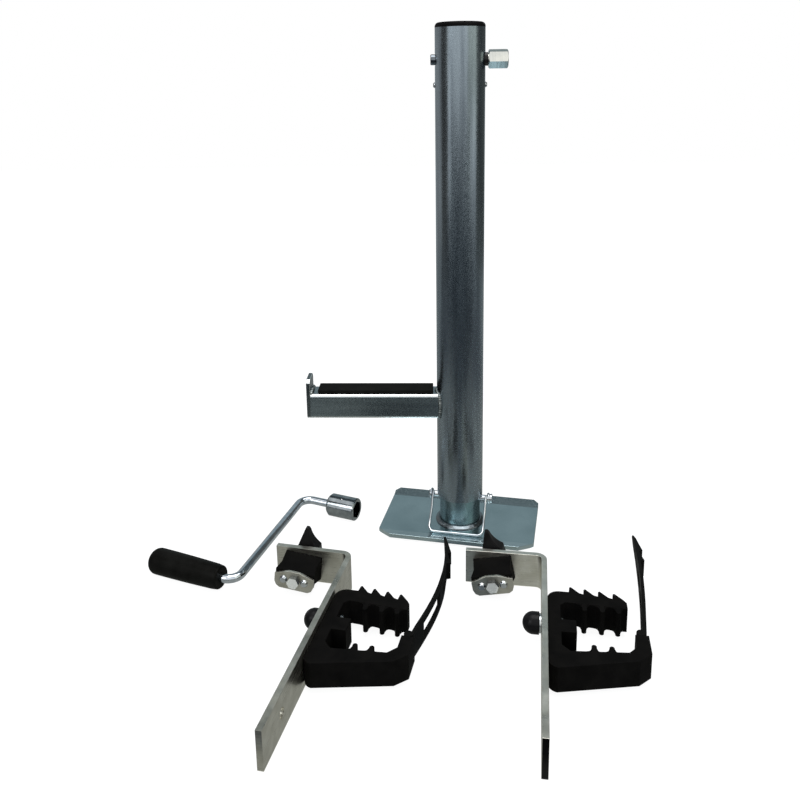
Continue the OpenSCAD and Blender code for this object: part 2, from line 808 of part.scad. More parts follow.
// Grip that turns on the rod: slightly barrelled, with a round free end
module crank_grip() {
    start = grip_reach - grip_len;
    r = grip_d / 2;
    bulge = 1.4;
    color([0.07, 0.07, 0.07]) on_grip_leg() difference() {
        translate([0, 0, start]) rotate_extrude() polygon(concat(
            [[0, 0]],
            [[r - 3.2, 0], [r - 2, 1.2]],
            [for (i = [1:12]) let (t = i / 12) [r - bulge * pow(1 - t, 2), 1.2 + t * (grip_len - 15)]],
            arc(r - 10, grip_len - 10, 10, 0, 90, 8),
            [[0, grip_len]]
        ));
        cylinder(d = rod_d + 2 * run_fit, h = grip_reach - grip_wall_end - 2);
        translate([0, 0, grip_reach - grip_wall_end - 6]) cylinder(d = rod_d + 6, h = 4);
    }
}

// Places a piece with its bracket: the sharp outer corner at the origin, the long leg along -Y
module on_left() {
    translate([left_x, left_y, 0]) rotate([0, 0, left_turn]) children();
}

module on_right() {
    translate([right_x, right_y, 0]) rotate([0, 0, right_turn]) children();
}

// Places a piece about the anchor's rod, with +Z forwards along it and the bar's front face at 0
module on_rod(roll) {
    translate([-anchor_x, -bar_t, leg_mid]) rotate([90, 0, 0]) rotate([0, 0, -roll]) children();
}

// Flat bar bent to an angle, with its holes
module bar() {
    inner = bar_bend - bar_t;
    color("darkkhaki") difference() {
        linear_extrude(bar_h) {
            translate([-short_leg, -bar_t]) square([short_leg - bar_bend, bar_t]);
            translate([-bar_t, -long_leg]) square([bar_t, long_leg - bar_bend]);
            intersection() {
                translate([-bar_bend, -bar_bend]) difference() {
                    circle(r = bar_bend);
                    circle(r = inner);
                }
                translate([-bar_bend, -bar_bend]) square(bar_bend);
            }
        }
        translate([-bar_t - cut, -clamp_y, leg_mid]) along_x()
            cylinder(d = bolt_d + 2 * seat, h = 3 * bar_t);
        translate([-bar_t - cut, hole_from_end - long_leg, leg_mid]) along_x()
            cylinder(d = hole_d, h = bar_t + 2 * cut);
        translate([-anchor_x, cut, leg_mid]) rotate([90, 0, 0])
            cylinder(d = anchor_d + 2 * seat, h = 3 * bar_t);
    }
}

// Outline of the clamp about its bolt: base on the bar, rear wall with hooks, front wall, mouth on the right
module clamp_outline() {
    rear_x = clamp_w - 16;
    slope = 0.13;
    hook_x = 23.7;
    front_right = front_in - 5;
    front_left = front_in - 27;
    polygon(concat(
        arc(10, front_left + 10, 10, 180, 262),
        [[clamp_w - 12, front_right - 3], [clamp_w, front_right + 9], [clamp_w, hinge_y - 4],
         [hinge_x, hinge_y - 4]],
        [[block_x, hinge_y - 4], [block_x, front_in + 12], [block_x - 8, front_in + 3],
         [base_t + 8, front_in - 2], [base_t, front_in + 6]],
        [[base_t, cavity_rear - 5], [base_t + 5, cavity_rear], [rear_x, cavity_rear - 3],
         [rear_x, rear_out - 11]],
        [for (i = [hooks - 1:-1:0]) let (x = hook_x + i * hook_pitch, y = rear_out - slope * (x - hook_x))
            each [[x + 0.62 * hook_pitch, y - 0.5], [x + 0.8, y + hook_h],
                  [x - 1, y + hook_h - 1], [x - 1.6, y]]],
        arc(12, rear_out - 12, 12, 90, 180)
    ));
}

// Ribs that grip a pipe, on both walls of the clamp
module clamp_ribs() {
    for (x = [37, 54.5, 70.5]) translate([x, cavity_rear - 3]) {
        square([5, 12], center = true);
        translate([0, -6]) circle(d = 5, $fn = 24);
    }
    for (x = [43, 59.5]) translate([x, front_in + 2]) {
        square([5, 10], center = true);
        translate([0, 5]) circle(d = 5, $fn = 24);
    }
}

// Rubber clamp on the outer face of the long leg
module clamp() {
    color([0.08, 0.08, 0.08]) translate([0, -clamp_y, clamp_z]) difference() {
        union() {
            linear_extrude(clamp_h) {
                clamp_outline();
                clamp_ribs();
                translate([base_t - 1, -bolt_d - 1 - web_w]) square([web_reach + 1, web_w]);
            }
            linear_extrude(shelf_h) translate([base_t - 1, front_in - 3])
                square([web_reach, -bolt_d - 2 - front_in]);
        }
        translate([hinge_x, hinge_y, -cut]) cylinder(r = hinge_r + apart, h = clamp_h + 2 * cut);
        translate([-cut, 0, clamp_h / 2]) along_x() cylinder(d = bolt_d + 2 * seat, h = base_t + 10);
        translate([base_t + 1, 0, clamp_h / 2]) along_x() cylinder(d = 2 * bolt_d + 1, h = 10);
    }
}

// Pan-head bolt through clamp and bar
module clamp_bolt() {
    color("silver") translate([0, -clamp_y, leg_mid]) along_x() {
        translate([0, 0, -bar_t - 12]) cylinder(d = bolt_d, h = bar_t + base_t + 13);
        translate([0, 0, base_t + 1]) cylinder(d1 = 2 * bolt_d, d2 = 2 * bolt_d - 4, h = 3.5);
    }
}

// Washer under the cap nut
module clamp_washer() {
    color("gainsboro") translate([-bar_t - 2, -clamp_y, leg_mid]) along_x()
        ring(2 * bolt_d + 3, bolt_d + 2 * seat, 2);
}

// Domed cap nut on the inner face of the long leg
module cap_nut() {
    r = 11;
    skirt = 6;
    color([0.1, 0.1, 0.1]) translate([-bar_t - 2, -clamp_y, leg_mid]) rotate([0, -90, 0]) difference() {
        union() {
            cylinder(r = r, h = skirt);
            intersection() {
                translate([0, 0, skirt]) sphere(r = r);
                cylinder(r = r, h = skirt + 2 * r);
            }
        }
        translate([0, 0, -cut]) cylinder(d = bolt_d, h = 10 + cut);
    }
}

// Middle line of the strap, seen from above: an even bow from its root to its tip
function strap_point(t, bow, tip) =
    [hinge_x + 3 + bow * sin(180 * t) + tip * t, hinge_y + strap_len * t - 1];

// Outline of the strap from above: a knuckle, the bow, and two barbs on its outer side
module strap_outline(bow, tip) {
    half = strap_t / 2;
    outer = concat(
        [[1, 0], [0.93, 1.4], [0.86, 3], [0.79, 5], [0.78, 1]],
        [[0.74, 1.6], [0.67, 4.6], [0.66, 0.2], [0.63, 0]],
        [for (i = [11:-1:0]) [i / 20, 0]]
    );
    polygon(concat(
        [for (e = outer) strap_point(e[0], bow, tip) + [half * (1 - 0.5 * e[0]) + e[1], 0]],
        arc(hinge_x, hinge_y, hinge_r, -40, -300, 20),
        [for (i = [1:14]) strap_point(i / 14, bow, tip) - [half * (1 - 0.5 * i / 14), 0]]
    ));
}

// Rubber strap with two windows and a narrowing tip
module strap(bow, lean) {
    mid = clamp_h / 2;
    tip = hinge_y + strap_len - 1;
    color([0.09, 0.09, 0.09]) translate([0, -clamp_y, clamp_z]) difference() {
        intersection() {
            linear_extrude(clamp_h) strap_outline(bow, lean);
            rotate([90, 0, 90]) linear_extrude(2 * clamp_w) polygon([
                [hinge_y - 10, 0], [hinge_y + 0.5 * strap_len, 0], [tip - 12, mid - 5], [tip, mid - 1.5],
                [tip, mid + 1.5], [tip - 12, mid + 5], [hinge_y + 0.5 * strap_len, clamp_h],
                [hinge_y - 10, clamp_h]
            ]);
        }
        for (w = [[0.13, 0.4, 15], [0.47, 0.6, 8]])
            translate([hinge_x - 5, hinge_y + strap_len * w[0], mid - w[2] / 2])
                cube([40, strap_len * (w[1] - w[0]), w[2]]);
    }
}

// Rubber block that is squeezed between bar and end plate, waisted on its sides
module anchor_block(roll) {
    waist = 2.5;
    front = end_h / 2 - 1;
    color([0.06, 0.06, 0.06]) on_rod(roll) difference() {
        intersection() {
            rotate([-90, 0, 0]) translate([0, -block_d, -block_h / 2]) linear_extrude(block_h) polygon([
                [-block_w / 2, 0], [-block_w / 2 + waist, block_d * 0.4], [-block_w / 2 + 1, block_d],
                [block_w / 2 - 1, block_d], [block_w / 2 - waist, block_d * 0.4], [block_w / 2, 0]
            ]);
            translate([-block_w, 0, 0]) rotate([90, 0, 90]) linear_extrude(2 * block_w) polygon([
                [-block_h / 2, 0], [block_h / 2, 0], [front, block_d], [5 - front, block_d]
            ]);
        }
        translate([0, 0, -cut]) cylinder(d = anchor_d + 2 * seat, h = block_d + 2 * cut);
    }
}

// Steel end plate, highest in the middle, with eased lower corners
module end_plate(roll) {
    w = block_w / 2;
    h = end_h / 2;
    color("darkkhaki") on_rod(roll) difference() {
        translate([0, 0, block_d]) linear_extrude(end_t) polygon([
            [-w, -0.35 * h], [2 - w, 2.5 - h], [6 - w, -h], [w - 6, -h], [w - 2, 2.5 - h], [w, -0.35 * h],
            [w, h - 5], [6, h], [-6, h], [-w, h - 5]
        ]);
        translate([0, 0, block_d - cut]) cylinder(d = anchor_d + 2 * seat, h = end_t + 2 * cut);
        for (s = [-1, 1]) translate([s * 12, 0, block_d - cut]) cylinder(d = 3.4, h = end_t + 2 * cut);
    }
}

// Two rivets beside the bolt head
module anchor_rivets(roll) {
    color("silver") on_rod(roll) for (s = [-1, 1]) translate([s * 12, 0, block_d]) {
        cylinder(d = 3.2, h = end_t);
        translate([0, 0, end_t]) cylinder(d1 = 6.4, d2 = 4, h = 1.8);
    }
}

// Anchor rod: hexagonal head in front, flat eye behind the bar
module anchor_rod(roll) {
    front = block_d + end_t;
    color("silver") on_rod(roll) difference() {
        union() {
            translate([0, 0, -bar_t - 0.2]) cylinder(d = anchor_d, h = bar_t + 0.2 + front);
            translate([0, 0, front]) cylinder(d = 14, h = 5, $fn = 6);
            translate([0, 0, -bar_t - lever_out]) intersection() {
                rotate([0, 90, 0]) translate([0, 0, -eye_t / 2]) cylinder(d = lever_pin_d + 5, h = eye_t);
                cylinder(d = 4 * lever_pin_d, h = 4 * lever_pin_d, center = true);
            }
            translate([-eye_t / 2, -anchor_d / 2, -bar_t - lever_out]) cube([eye_t, anchor_d, lever_out]);
        }
        translate([0, 0, -bar_t - lever_out]) along_x() translate([0, 0, -eye_t])
            cylinder(d = lever_pin_d, h = 2 * eye_t);
    }
}

// Pin of the cam lever
module lever_pin(roll) {
    color("dimgray") on_rod(roll) translate([-lever_w / 2 + 0.5, 0, -bar_t - lever_out]) along_x()
        cylinder(d = lever_pin_d, h = lever_w - 1);
}

// Cam lever behind the bar: a horn that rises above it, forked round the rod's eye
module lever(roll) {
    half = lever_w / 2;
    color([0.08, 0.08, 0.08]) on_rod(roll) translate([0, 0, -bar_t - lever_out]) difference() {
        intersection() {
            translate([-half, 0, 0]) along_x() linear_extrude(lever_w)
                polygon(concat(arc(0, 0, lever_r, 170, 370, 20), [[4, lever_len], [-2, lever_len]]));
            translate([0, 0, -2 * lever_r]) linear_extrude(4 * lever_r) polygon(concat(
                [[-half, -lever_r], [-half, 0.3 * lever_len]],
                [[-0.4 * half, lever_len], [-0.15 * half, lever_len]],
                arc(half + 16, lever_len + 4, 30, 193, 236, 8),
                [[half, 6], [half, -lever_r]]
            ));
        }
        translate([-fork / 2, -2 * lever_r, -2 * lever_r])
            cube([fork, 2 * lever_r + lever_pin_d / 2 + 5, 4 * lever_r]);
        translate([-lever_w, 0, 0]) along_x() cylinder(d = lever_pin_d + 2 * run_fit, h = 2 * lever_w);
    }
}

foot_plate();
foot_collar();
foot_spigot();
ram_tube();
screw_nut();
nut_pins();
lock_pin();
wire_bail();
column_tube();
lift_arm();
arm_end_plate();
arm_welds();
arm_pad();
top_cap();
bush_left();
bush_right();
bearing_plate();
bearing_screws();
race_upper();
drive_shaft();
drive_pinion();
pinion_pin();
shaft_clip();
lead_screw();
screw_gear();
gear_pin();
race_lower();
thrust_cage();
thrust_balls();
screw_stop();
crank_rod();
crank_socket();
socket_ball();
grip_clip();
crank_grip();
on_left() bar();  // bar_left
on_left() clamp();  // clamp_left
on_left() clamp_bolt();  // clamp_bolt_left
on_left() clamp_washer();  // clamp_washer_left
on_left() cap_nut();  // cap_nut_left
on_left() strap(left_bow, left_tip);  // strap_left
on_left() anchor_block(left_roll);  // anchor_block_left
on_left() end_plate(left_roll);  // end_plate_left
on_left() anchor_rivets(left_roll);  // anchor_rivets_left
on_left() anchor_rod(left_roll);  // anchor_rod_left
on_left() lever(left_roll);  // lever_left
on_left() lever_pin(left_roll);  // lever_pin_left
on_right() bar();  // bar_right
on_right() clamp();  // clamp_right
on_right() clamp_bolt();  // clamp_bolt_right
on_right() clamp_washer();  // clamp_washer_right
on_right() cap_nut();  // cap_nut_right
on_right() strap(right_bow, right_tip);  // strap_right
on_right() anchor_block(right_roll);  // anchor_block_right
on_right() end_plate(right_roll);  // end_plate_right
on_right() anchor_rivets(right_roll);  // anchor_rivets_right
on_right() anchor_rod(right_roll);  // anchor_rod_right
on_right() lever(right_roll);  // lever_right
on_right() lever_pin(right_roll);  // lever_pin_right
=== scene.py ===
import json
from math import asin, cos, pi, radians, sin, sqrt, tan

import bmesh
import bpy
from mathutils import Matrix, Vector


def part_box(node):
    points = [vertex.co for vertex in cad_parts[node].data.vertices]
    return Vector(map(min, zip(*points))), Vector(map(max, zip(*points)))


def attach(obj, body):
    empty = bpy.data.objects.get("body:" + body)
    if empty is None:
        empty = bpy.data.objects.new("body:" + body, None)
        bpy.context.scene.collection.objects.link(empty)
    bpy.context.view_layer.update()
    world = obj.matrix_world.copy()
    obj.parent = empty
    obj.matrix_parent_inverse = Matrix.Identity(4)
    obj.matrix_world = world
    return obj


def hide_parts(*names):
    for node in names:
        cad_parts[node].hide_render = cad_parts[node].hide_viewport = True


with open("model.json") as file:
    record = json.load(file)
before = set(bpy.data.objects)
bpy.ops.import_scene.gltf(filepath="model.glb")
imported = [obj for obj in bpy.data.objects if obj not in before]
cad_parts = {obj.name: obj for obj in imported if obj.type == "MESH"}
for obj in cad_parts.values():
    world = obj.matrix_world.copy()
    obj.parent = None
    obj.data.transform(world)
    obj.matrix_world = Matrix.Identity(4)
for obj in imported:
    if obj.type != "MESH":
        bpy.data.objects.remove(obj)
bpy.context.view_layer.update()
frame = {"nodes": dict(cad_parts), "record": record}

MM = 0.001

# Camera: it stands where the photograph was taken from, about a metre in front of the column and a
# little above its middle, and looks slightly down.
CAMERA_PLACE = Vector((-0.0308, -0.9798, 0.5687))
CAMERA_YAW, CAMERA_PITCH, CAMERA_ROLL = radians(-2.39), radians(13.18), radians(-0.94)
CAMERA_LENS, SENSOR_WIDTH, CAMERA_SHIFT = 37.85, 36, -0.16875
NEAR_LIMIT = 0.01


def aim(obj, forward, roll=0.0):
    """Turns a lamp or camera so that its -Z looks along forward."""
    forward = forward.normalized()
    side = forward.cross(Vector((0, 0, 1)))
    if side.length < 1e-6:
        side = Vector((1, 0, 0))
    side.normalize()
    top = side.cross(forward)
    right = cos(roll) * side + sin(roll) * top
    up = cos(roll) * top - sin(roll) * side
    obj.rotation_mode = "QUATERNION"
    obj.rotation_quaternion = Matrix((right, up, -forward)).transposed().to_quaternion()


camera = bpy.data.objects.new("camera", bpy.data.cameras.new("camera"))
bpy.context.scene.collection.objects.link(camera)
camera.location = CAMERA_PLACE
aim(camera, Vector((sin(CAMERA_YAW) * cos(CAMERA_PITCH), cos(CAMERA_YAW) * cos(CAMERA_PITCH),
                    -sin(CAMERA_PITCH))), CAMERA_ROLL)
camera.data.lens = CAMERA_LENS
camera.data.sensor_width = SENSOR_WIDTH
camera.data.shift_y = CAMERA_SHIFT
camera.data.clip_start = NEAR_LIMIT
bpy.context.scene.camera = camera
bpy.context.scene.view_settings.view_transform = "Standard"

# Light and floor: a wide lamp overhead and two smaller ones in front, under a white sky and on a
# pale floor. Sky and floor are plain white to the camera and to mirror rays, so no horizon shows.
def lamp(name, place, target, width, height, watts, colour):
    """A rectangular lamp at place that looks at target."""
    light = bpy.data.lights.new(name, "AREA")
    light.shape = "RECTANGLE"
    light.size, light.size_y = width, height
    light.energy = watts
    light.color = colour
    obj = bpy.data.objects.new(name, light)
    bpy.context.scene.collection.objects.link(obj)
    obj.location = place
    aim(obj, Vector(target) - Vector(place))


lamp("overhead", (0.1, 0.0, 2.2), (0, 0, 0), 1.6, 1.6, 26, (1, 1, 1))
lamp("front_left", (-1.5, -1.5, 1.5), (0, 0, 0.2), 0.9, 0.9, 9, (0.97, 0.99, 1))
lamp("front_right", (1.3, -1.3, 1.0), (0, 0, 0.3), 0.5, 1.2, 5, (1, 0.98, 0.94))


def sees_background(tree):
    """1 for the rays that should meet the plain white background: camera, mirror and glass rays."""
    path = tree.nodes.new("ShaderNodeLightPath")
    total = path.outputs["Is Camera Ray"]
    for ray in ("Is Glossy Ray", "Is Transmission Ray"):
        add = tree.nodes.new("ShaderNodeMath")
        add.operation = "MAXIMUM"
        tree.links.new(total, add.inputs[0])
        tree.links.new(path.outputs[ray], add.inputs[1])
        total = add.outputs[0]
    return total


SKY_COLOUR, SKY_STRENGTH = (0.93, 0.96, 1.0, 1), 0.55
WHITE = (1, 1, 1, 1)
FLOOR_COLOUR, FLOOR_ROUGHNESS, FLOOR_SHINE = (0.86, 0.87, 0.88, 1), 0.7, 0.1
FLOOR_GLOW, GLOW_SHARE = 1.2, 0.78
FLOOR_HALF = 4
world = bpy.data.worlds.new("white_sky")
bpy.context.scene.world = world
world.use_nodes = True
sky = world.node_tree
sky.nodes["Background"].inputs["Color"].default_value = SKY_COLOUR
sky.nodes["Background"].inputs["Strength"].default_value = SKY_STRENGTH
plain = sky.nodes.new("ShaderNodeBackground")
plain.inputs["Color"].default_value = WHITE
plain.inputs["Strength"].default_value = 1.0
choose = sky.nodes.new("ShaderNodeMixShader")
sky.links.new(sees_background(sky), choose.inputs["Fac"])
sky.links.new(sky.nodes["Background"].outputs[0], choose.inputs[1])
sky.links.new(plain.outputs[0], choose.inputs[2])
sky.links.new(choose.outputs[0], sky.nodes["World Output"].inputs["Surface"])


def flat_card(name, corners):
    """One flat face of the set, kept out of the object."""
    mesh = bpy.data.meshes.new(name)
    mesh.from_pydata(corners, [], [tuple(range(len(corners)))])
    obj = bpy.data.objects.new(name, mesh)
    bpy.context.scene.collection.objects.link(obj)
    return obj


def lying(x0, x1, y0, y1, z):
    """The corners of a level card."""
    return [(x0, y0, z), (x1, y0, z), (x1, y1, z), (x0, y1, z)]


floor = flat_card("floor", lying(-FLOOR_HALF, FLOOR_HALF, -FLOOR_HALF, FLOOR_HALF, 0))
floor_paint = bpy.data.materials.new("pale_floor")
floor_paint.use_nodes = True
tree = floor_paint.node_tree
tree.nodes["Principled BSDF"].inputs["Base Color"].default_value = FLOOR_COLOUR
tree.nodes["Principled BSDF"].inputs["Roughness"].default_value = FLOOR_ROUGHNESS
tree.nodes["Principled BSDF"].inputs["Specular IOR Level"].default_value = FLOOR_SHINE
glow = tree.nodes.new("ShaderNodeEmission")
glow.inputs["Color"].default_value = WHITE
glow.inputs["Strength"].default_value = FLOOR_GLOW
part = tree.nodes.new("ShaderNodeMath")
part.operation = "MULTIPLY"
part.inputs[1].default_value = GLOW_SHARE
tree.links.new(sees_background(tree), part.inputs[0])
mix = tree.nodes.new("ShaderNodeMixShader")
tree.links.new(part.outputs[0], mix.inputs["Fac"])
tree.links.new(tree.nodes["Principled BSDF"].outputs[0], mix.inputs[1])
tree.links.new(glow.outputs[0], mix.inputs[2])
tree.links.new(mix.outputs[0], tree.nodes["Material Output"].inputs["Surface"])
floor.data.materials.append(floor_paint)

# Screens: grey and dark cards that stand for the room round the set. Only mirror rays meet them, so
# they show as the bands of light and dark in the plated metal and nowhere else.
CARD_LIFT = 0.0006


def upright(x0, y0, x1, y1, low, high):
    """The corners of a standing card."""
    return [(x0, y0, low), (x1, y1, low), (x1, y1, high), (x0, y0, high)]


SLOPING = [(-2.2, 1.7, 1.6), (2.2, 1.7, 1.6), (2.2, 0.85, 2.5), (-2.2, 0.85, 2.5)]
for name, colour, corners in (
        ("screen_left", (0.09, 0.085, 0.08), upright(-1.5, -0.9, -1.6, 0.2, 0, 2)),
        ("screen_left_back", (0.4, 0.4, 0.4), upright(-1.6, 0.2, -0.9, 1.5, 0, 0.9)),
        ("screen_right", (0.1, 0.105, 0.1), upright(1.7, -0.4, 0.8, 1.5, 0, 2)),
        ("screen_olive", (0.82, 0.84, 0.74), upright(1.0, -1.5, 1.7, -0.4, 0.45, 2)),
        ("screen_low", (0.07, 0.08, 0.09), upright(-2.2, -2.2, 2.2, -2.2, 0, 0.38)),
        ("screen_back", (0.32, 0.38, 0.4), upright(-2.2, 1.7, 2.2, 1.7, 0, 1.6)),
        ("screen_high", (0.09, 0.11, 0.12), SLOPING),
        ("floor_far", (0.06, 0.07, 0.08), lying(-2.5, 2.5, -3, -0.42, CARD_LIFT)),
        ("floor_middle", (0.13, 0.15, 0.16), lying(-0.04, 0.03, -0.42, 0.3, CARD_LIFT)),
        ("floor_left", (0.34, 0.35, 0.33), lying(-0.5, -0.04, -0.42, 0.3, CARD_LIFT)),
        ("floor_right", (0.34, 0.35, 0.33), lying(0.03, 0.45, -0.42, 0.3, CARD_LIFT)),
        ("floor_beside_left", (0.14, 0.15, 0.16), lying(-2.5, -0.5, -0.42, 0.3, CARD_LIFT)),
        ("floor_beside_right", (0.14, 0.15, 0.16), lying(0.45, 2.5, -0.42, 0.3, CARD_LIFT)),
        ("floor_behind", (0.28, 0.3, 0.3), lying(-2.5, 2.5, 0.3, 1.7, CARD_LIFT))):
    screen = flat_card(name, corners)
    screen_paint = bpy.data.materials.new(name)
    screen_paint.use_nodes = True
    tree = screen_paint.node_tree
    shine = tree.nodes.new("ShaderNodeEmission")
    shine.inputs["Color"].default_value = (*colour, 1)
    tree.links.new(shine.outputs[0], tree.nodes["Material Output"].inputs["Surface"])
    screen.data.materials.append(screen_paint)
    screen.visible_camera = False
    screen.visible_diffuse = False
    screen.visible_shadow = False
    screen.visible_transmission = False

# Column: a drawn steel tube of 57 mm, zinc plated and passivated to a blue-grey. The plating shows
# a fine speckle and soft upright streaks, and its ends are cut square with the edge just broken.
def start_finish(name):
    """A new material, its tree, its shader and the object's own coordinates."""
    finish = bpy.data.materials.new(name)
    finish.use_nodes = True
    tree = finish.node_tree
    place = tree.nodes.new("ShaderNodeTexCoord").outputs["Object"]
    return finish, tree, tree.nodes["Principled BSDF"], place


def grain(tree, place, size, stretch=(1, 1, 1), detail=3.0, distort=0.0):
    """Noise with features about size metres across, drawn out along the axes with a small stretch."""
    turn = tree.nodes.new("ShaderNodeMapping")
    turn.inputs["Scale"].default_value = stretch
    tree.links.new(place, turn.inputs["Vector"])
    noise = tree.nodes.new("ShaderNodeTexNoise")
    noise.inputs["Scale"].default_value = 1 / size
    noise.inputs["Detail"].default_value = detail
    noise.inputs["Distortion"].default_value = distort
    tree.links.new(turn.outputs[0], noise.inputs["Vector"])
    return noise.outputs["Fac"]


def shades(tree, amount, low, high, start=0.3, end=0.7):
    """Two colours, from low to high as the amount goes from start to end."""
    ramp = tree.nodes.new("ShaderNodeValToRGB")
    ramp.color_ramp.elements[0].position = start
    ramp.color_ramp.elements[1].position = end
    ramp.color_ramp.elements[0].color = (*low, 1)
    ramp.color_ramp.elements[1].color = (*high, 1)
    tree.links.new(amount, ramp.inputs[0])
    return ramp.outputs["Color"]


def span(tree, amount, low, high, start=0.3, end=0.7):
    """A number, from low to high as the amount goes from start to end."""
    node = tree.nodes.new("ShaderNodeMapRange")
    node.inputs["From Min"].default_value = start
    node.inputs["From Max"].default_value = end
    node.inputs["To Min"].default_value = low
    node.inputs["To Max"].default_value = high
    tree.links.new(amount, node.inputs["Value"])
    return node.outputs["Result"]


def blend_colours(tree, how, amount, first, second):
    """Two colours blended by an amount, each a plain value or a node's output."""
    node = tree.nodes.new("ShaderNodeMix")
    node.data_type = "RGBA"
    node.blend_type = how
    for value, socket in ((amount, node.inputs[0]), (first, node.inputs[6]), (second, node.inputs[7])):
        if isinstance(value, (int, float)):
            socket.default_value = value
        elif isinstance(value, tuple):
            socket.default_value = (*value, 1)
        else:
            tree.links.new(value, socket)
    return node.outputs[2]


def relief(tree, shader, height, strength, depth):
    """Fine unevenness in the surface, depth metres at most."""
    node = tree.nodes.new("ShaderNodeBump")
    node.inputs["Strength"].default_value = strength
    node.inputs["Distance"].default_value = depth
    tree.links.new(height, node.inputs["Height"])
    tree.links.new(node.outputs[0], shader.inputs["Normal"])


def on_edges(tree, start=0.02, end=0.16):
    """1 on rounded edges, where the surface faces none of the main directions, and 0 on flat faces."""
    facing = tree.nodes.new("ShaderNodeTexCoord").outputs["Normal"]
    apart = tree.nodes.new("ShaderNodeVectorMath")
    apart.operation = "ABSOLUTE"
    tree.links.new(facing, apart.inputs[0])
    parts = tree.nodes.new("ShaderNodeSeparateXYZ")
    tree.links.new(apart.outputs[0], parts.inputs[0])
    largest = parts.outputs[0]
    for axis in (1, 2):
        pick = tree.nodes.new("ShaderNodeMath")
        pick.operation = "MAXIMUM"
        tree.links.new(largest, pick.inputs[0])
        tree.links.new(parts.outputs[axis], pick.inputs[1])
        largest = pick.outputs[0]
    return span(tree, largest, 1, 0, 1 - end, 1 - start)


def ramp_along(tree, coordinates, axis, start, end):
    """0 to 1 as one part of the surface's own place or direction goes from start to end."""
    parts = tree.nodes.new("ShaderNodeSeparateXYZ")
    tree.links.new(tree.nodes.new("ShaderNodeTexCoord").outputs[coordinates], parts.inputs[0])
    return span(tree, parts.outputs[axis], 0, 1, start, end)


def retone(finish, amount, colour):
    """Lays another colour over a finish, as far as the amount says."""
    tree = finish.node_tree
    base = tree.nodes["Principled BSDF"].inputs["Base Color"]
    tree.links.new(blend_colours(tree, "MIX", amount, base.links[0].from_socket, colour), base)


def plated_steel(name, low, high, gloss=(0.26, 0.4), streak=(1, 1, 0.06), speck=0.0011, speck_mix=0.5,
                 streak_size=0.008, depth=0.00006, edge=None):
    """Zinc plate: a cloudy tone drawn out along the part, a fine speckle, and an uneven gloss."""
    finish, tree, shader, place = start_finish(name)
    cloud = grain(tree, place, streak_size, streak, detail=5)
    fine = grain(tree, place, speck, detail=2)
    tone = shades(tree, cloud, low, high, 0.32, 0.68)
    sparkle = shades(tree, fine, (0.35, 0.35, 0.36), (1, 1, 1), 0.3, 0.72)
    tone = blend_colours(tree, "MULTIPLY", speck_mix, tone, sparkle)
    # painted highlight: a pale edge colour, when given, is laid on the rounded edges
    if edge:
        tone = blend_colours(tree, "MIX", on_edges(tree), tone, edge)
    tree.links.new(tone, shader.inputs["Base Color"])
    shader.inputs["Metallic"].default_value = 1.0
    tree.links.new(span(tree, fine, gloss[0], gloss[1]), shader.inputs["Roughness"])
    relief(tree, shader, fine, 0.25, depth)
    return finish


def paint(piece, finish):
    """Gives a CAD node or a new piece one material in every slot."""
    data = frame["nodes"][piece].data if isinstance(piece, str) else piece.data
    if not data.materials:
        data.materials.append(finish)
    for i in range(len(data.materials)):
        data.materials[i] = finish


def body_of(node):
    """The body that a CAD node moves with."""
    bodies = frame["record"]["behaviour"]["bodies"]
    return next(body for body, members in bodies.items() if node in members)


def keep_piece(mesh, name, finish, node):
    """Makes an object of a mesh, paints it, and lets it ride and stand for a CAD node."""
    obj = bpy.data.objects.new(name, mesh)
    bpy.context.scene.collection.objects.link(obj)
    paint(obj, finish)
    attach(obj, body_of(node))
    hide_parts(node)
    return obj


SAME_POINT, FLAT_ANGLE = 2e-6, 0.6


def ease_edges(node, name, finish, width, steps=2, angle=28, smooth=34):
    """A copy of a CAD node whose edges are broken by a small round, with even shading."""
    mesh = bpy.data.meshes.new(name)
    bm = bmesh.new()
    bm.from_mesh(frame["nodes"][node].data)
    bmesh.ops.remove_doubles(bm, verts=bm.verts, dist=SAME_POINT)
    bmesh.ops.dissolve_limit(bm, angle_limit=radians(FLAT_ANGLE), verts=bm.verts, edges=bm.edges)
    sharp = [e for e in bm.edges if len(e.link_faces) == 2 and e.calc_face_angle(0) > radians(angle)]
    bmesh.ops.bevel(bm, geom=sharp, offset=width * MM, segments=steps, profile=0.5, affect="EDGES",
                    clamp_overlap=True)
    for face in bm.faces:
        face.smooth = True
    bm.to_mesh(mesh)
    bm.free()
    mesh.set_sharp_from_angle(angle=radians(smooth))
    piece = keep_piece(mesh, name, finish, node)
    even = piece.modifiers.new("even_shading", "WEIGHTED_NORMAL")
    even.keep_sharp = True
    return piece


TUBE_TONE = plated_steel("column_zinc", (0.24, 0.29, 0.33), (0.4, 0.48, 0.53), (0.18, 0.3))
ease_edges("column_tube", "column_outer", TUBE_TONE, 0.5)

# Plastic cap: a pushed-in plug of black plastic with a full rounded rim and an almost flat top, which
# catches a soft light. The moulding has a faint orange-peel surface.
MERGE_GAP, SHARP_FROM = 1e-7, 40


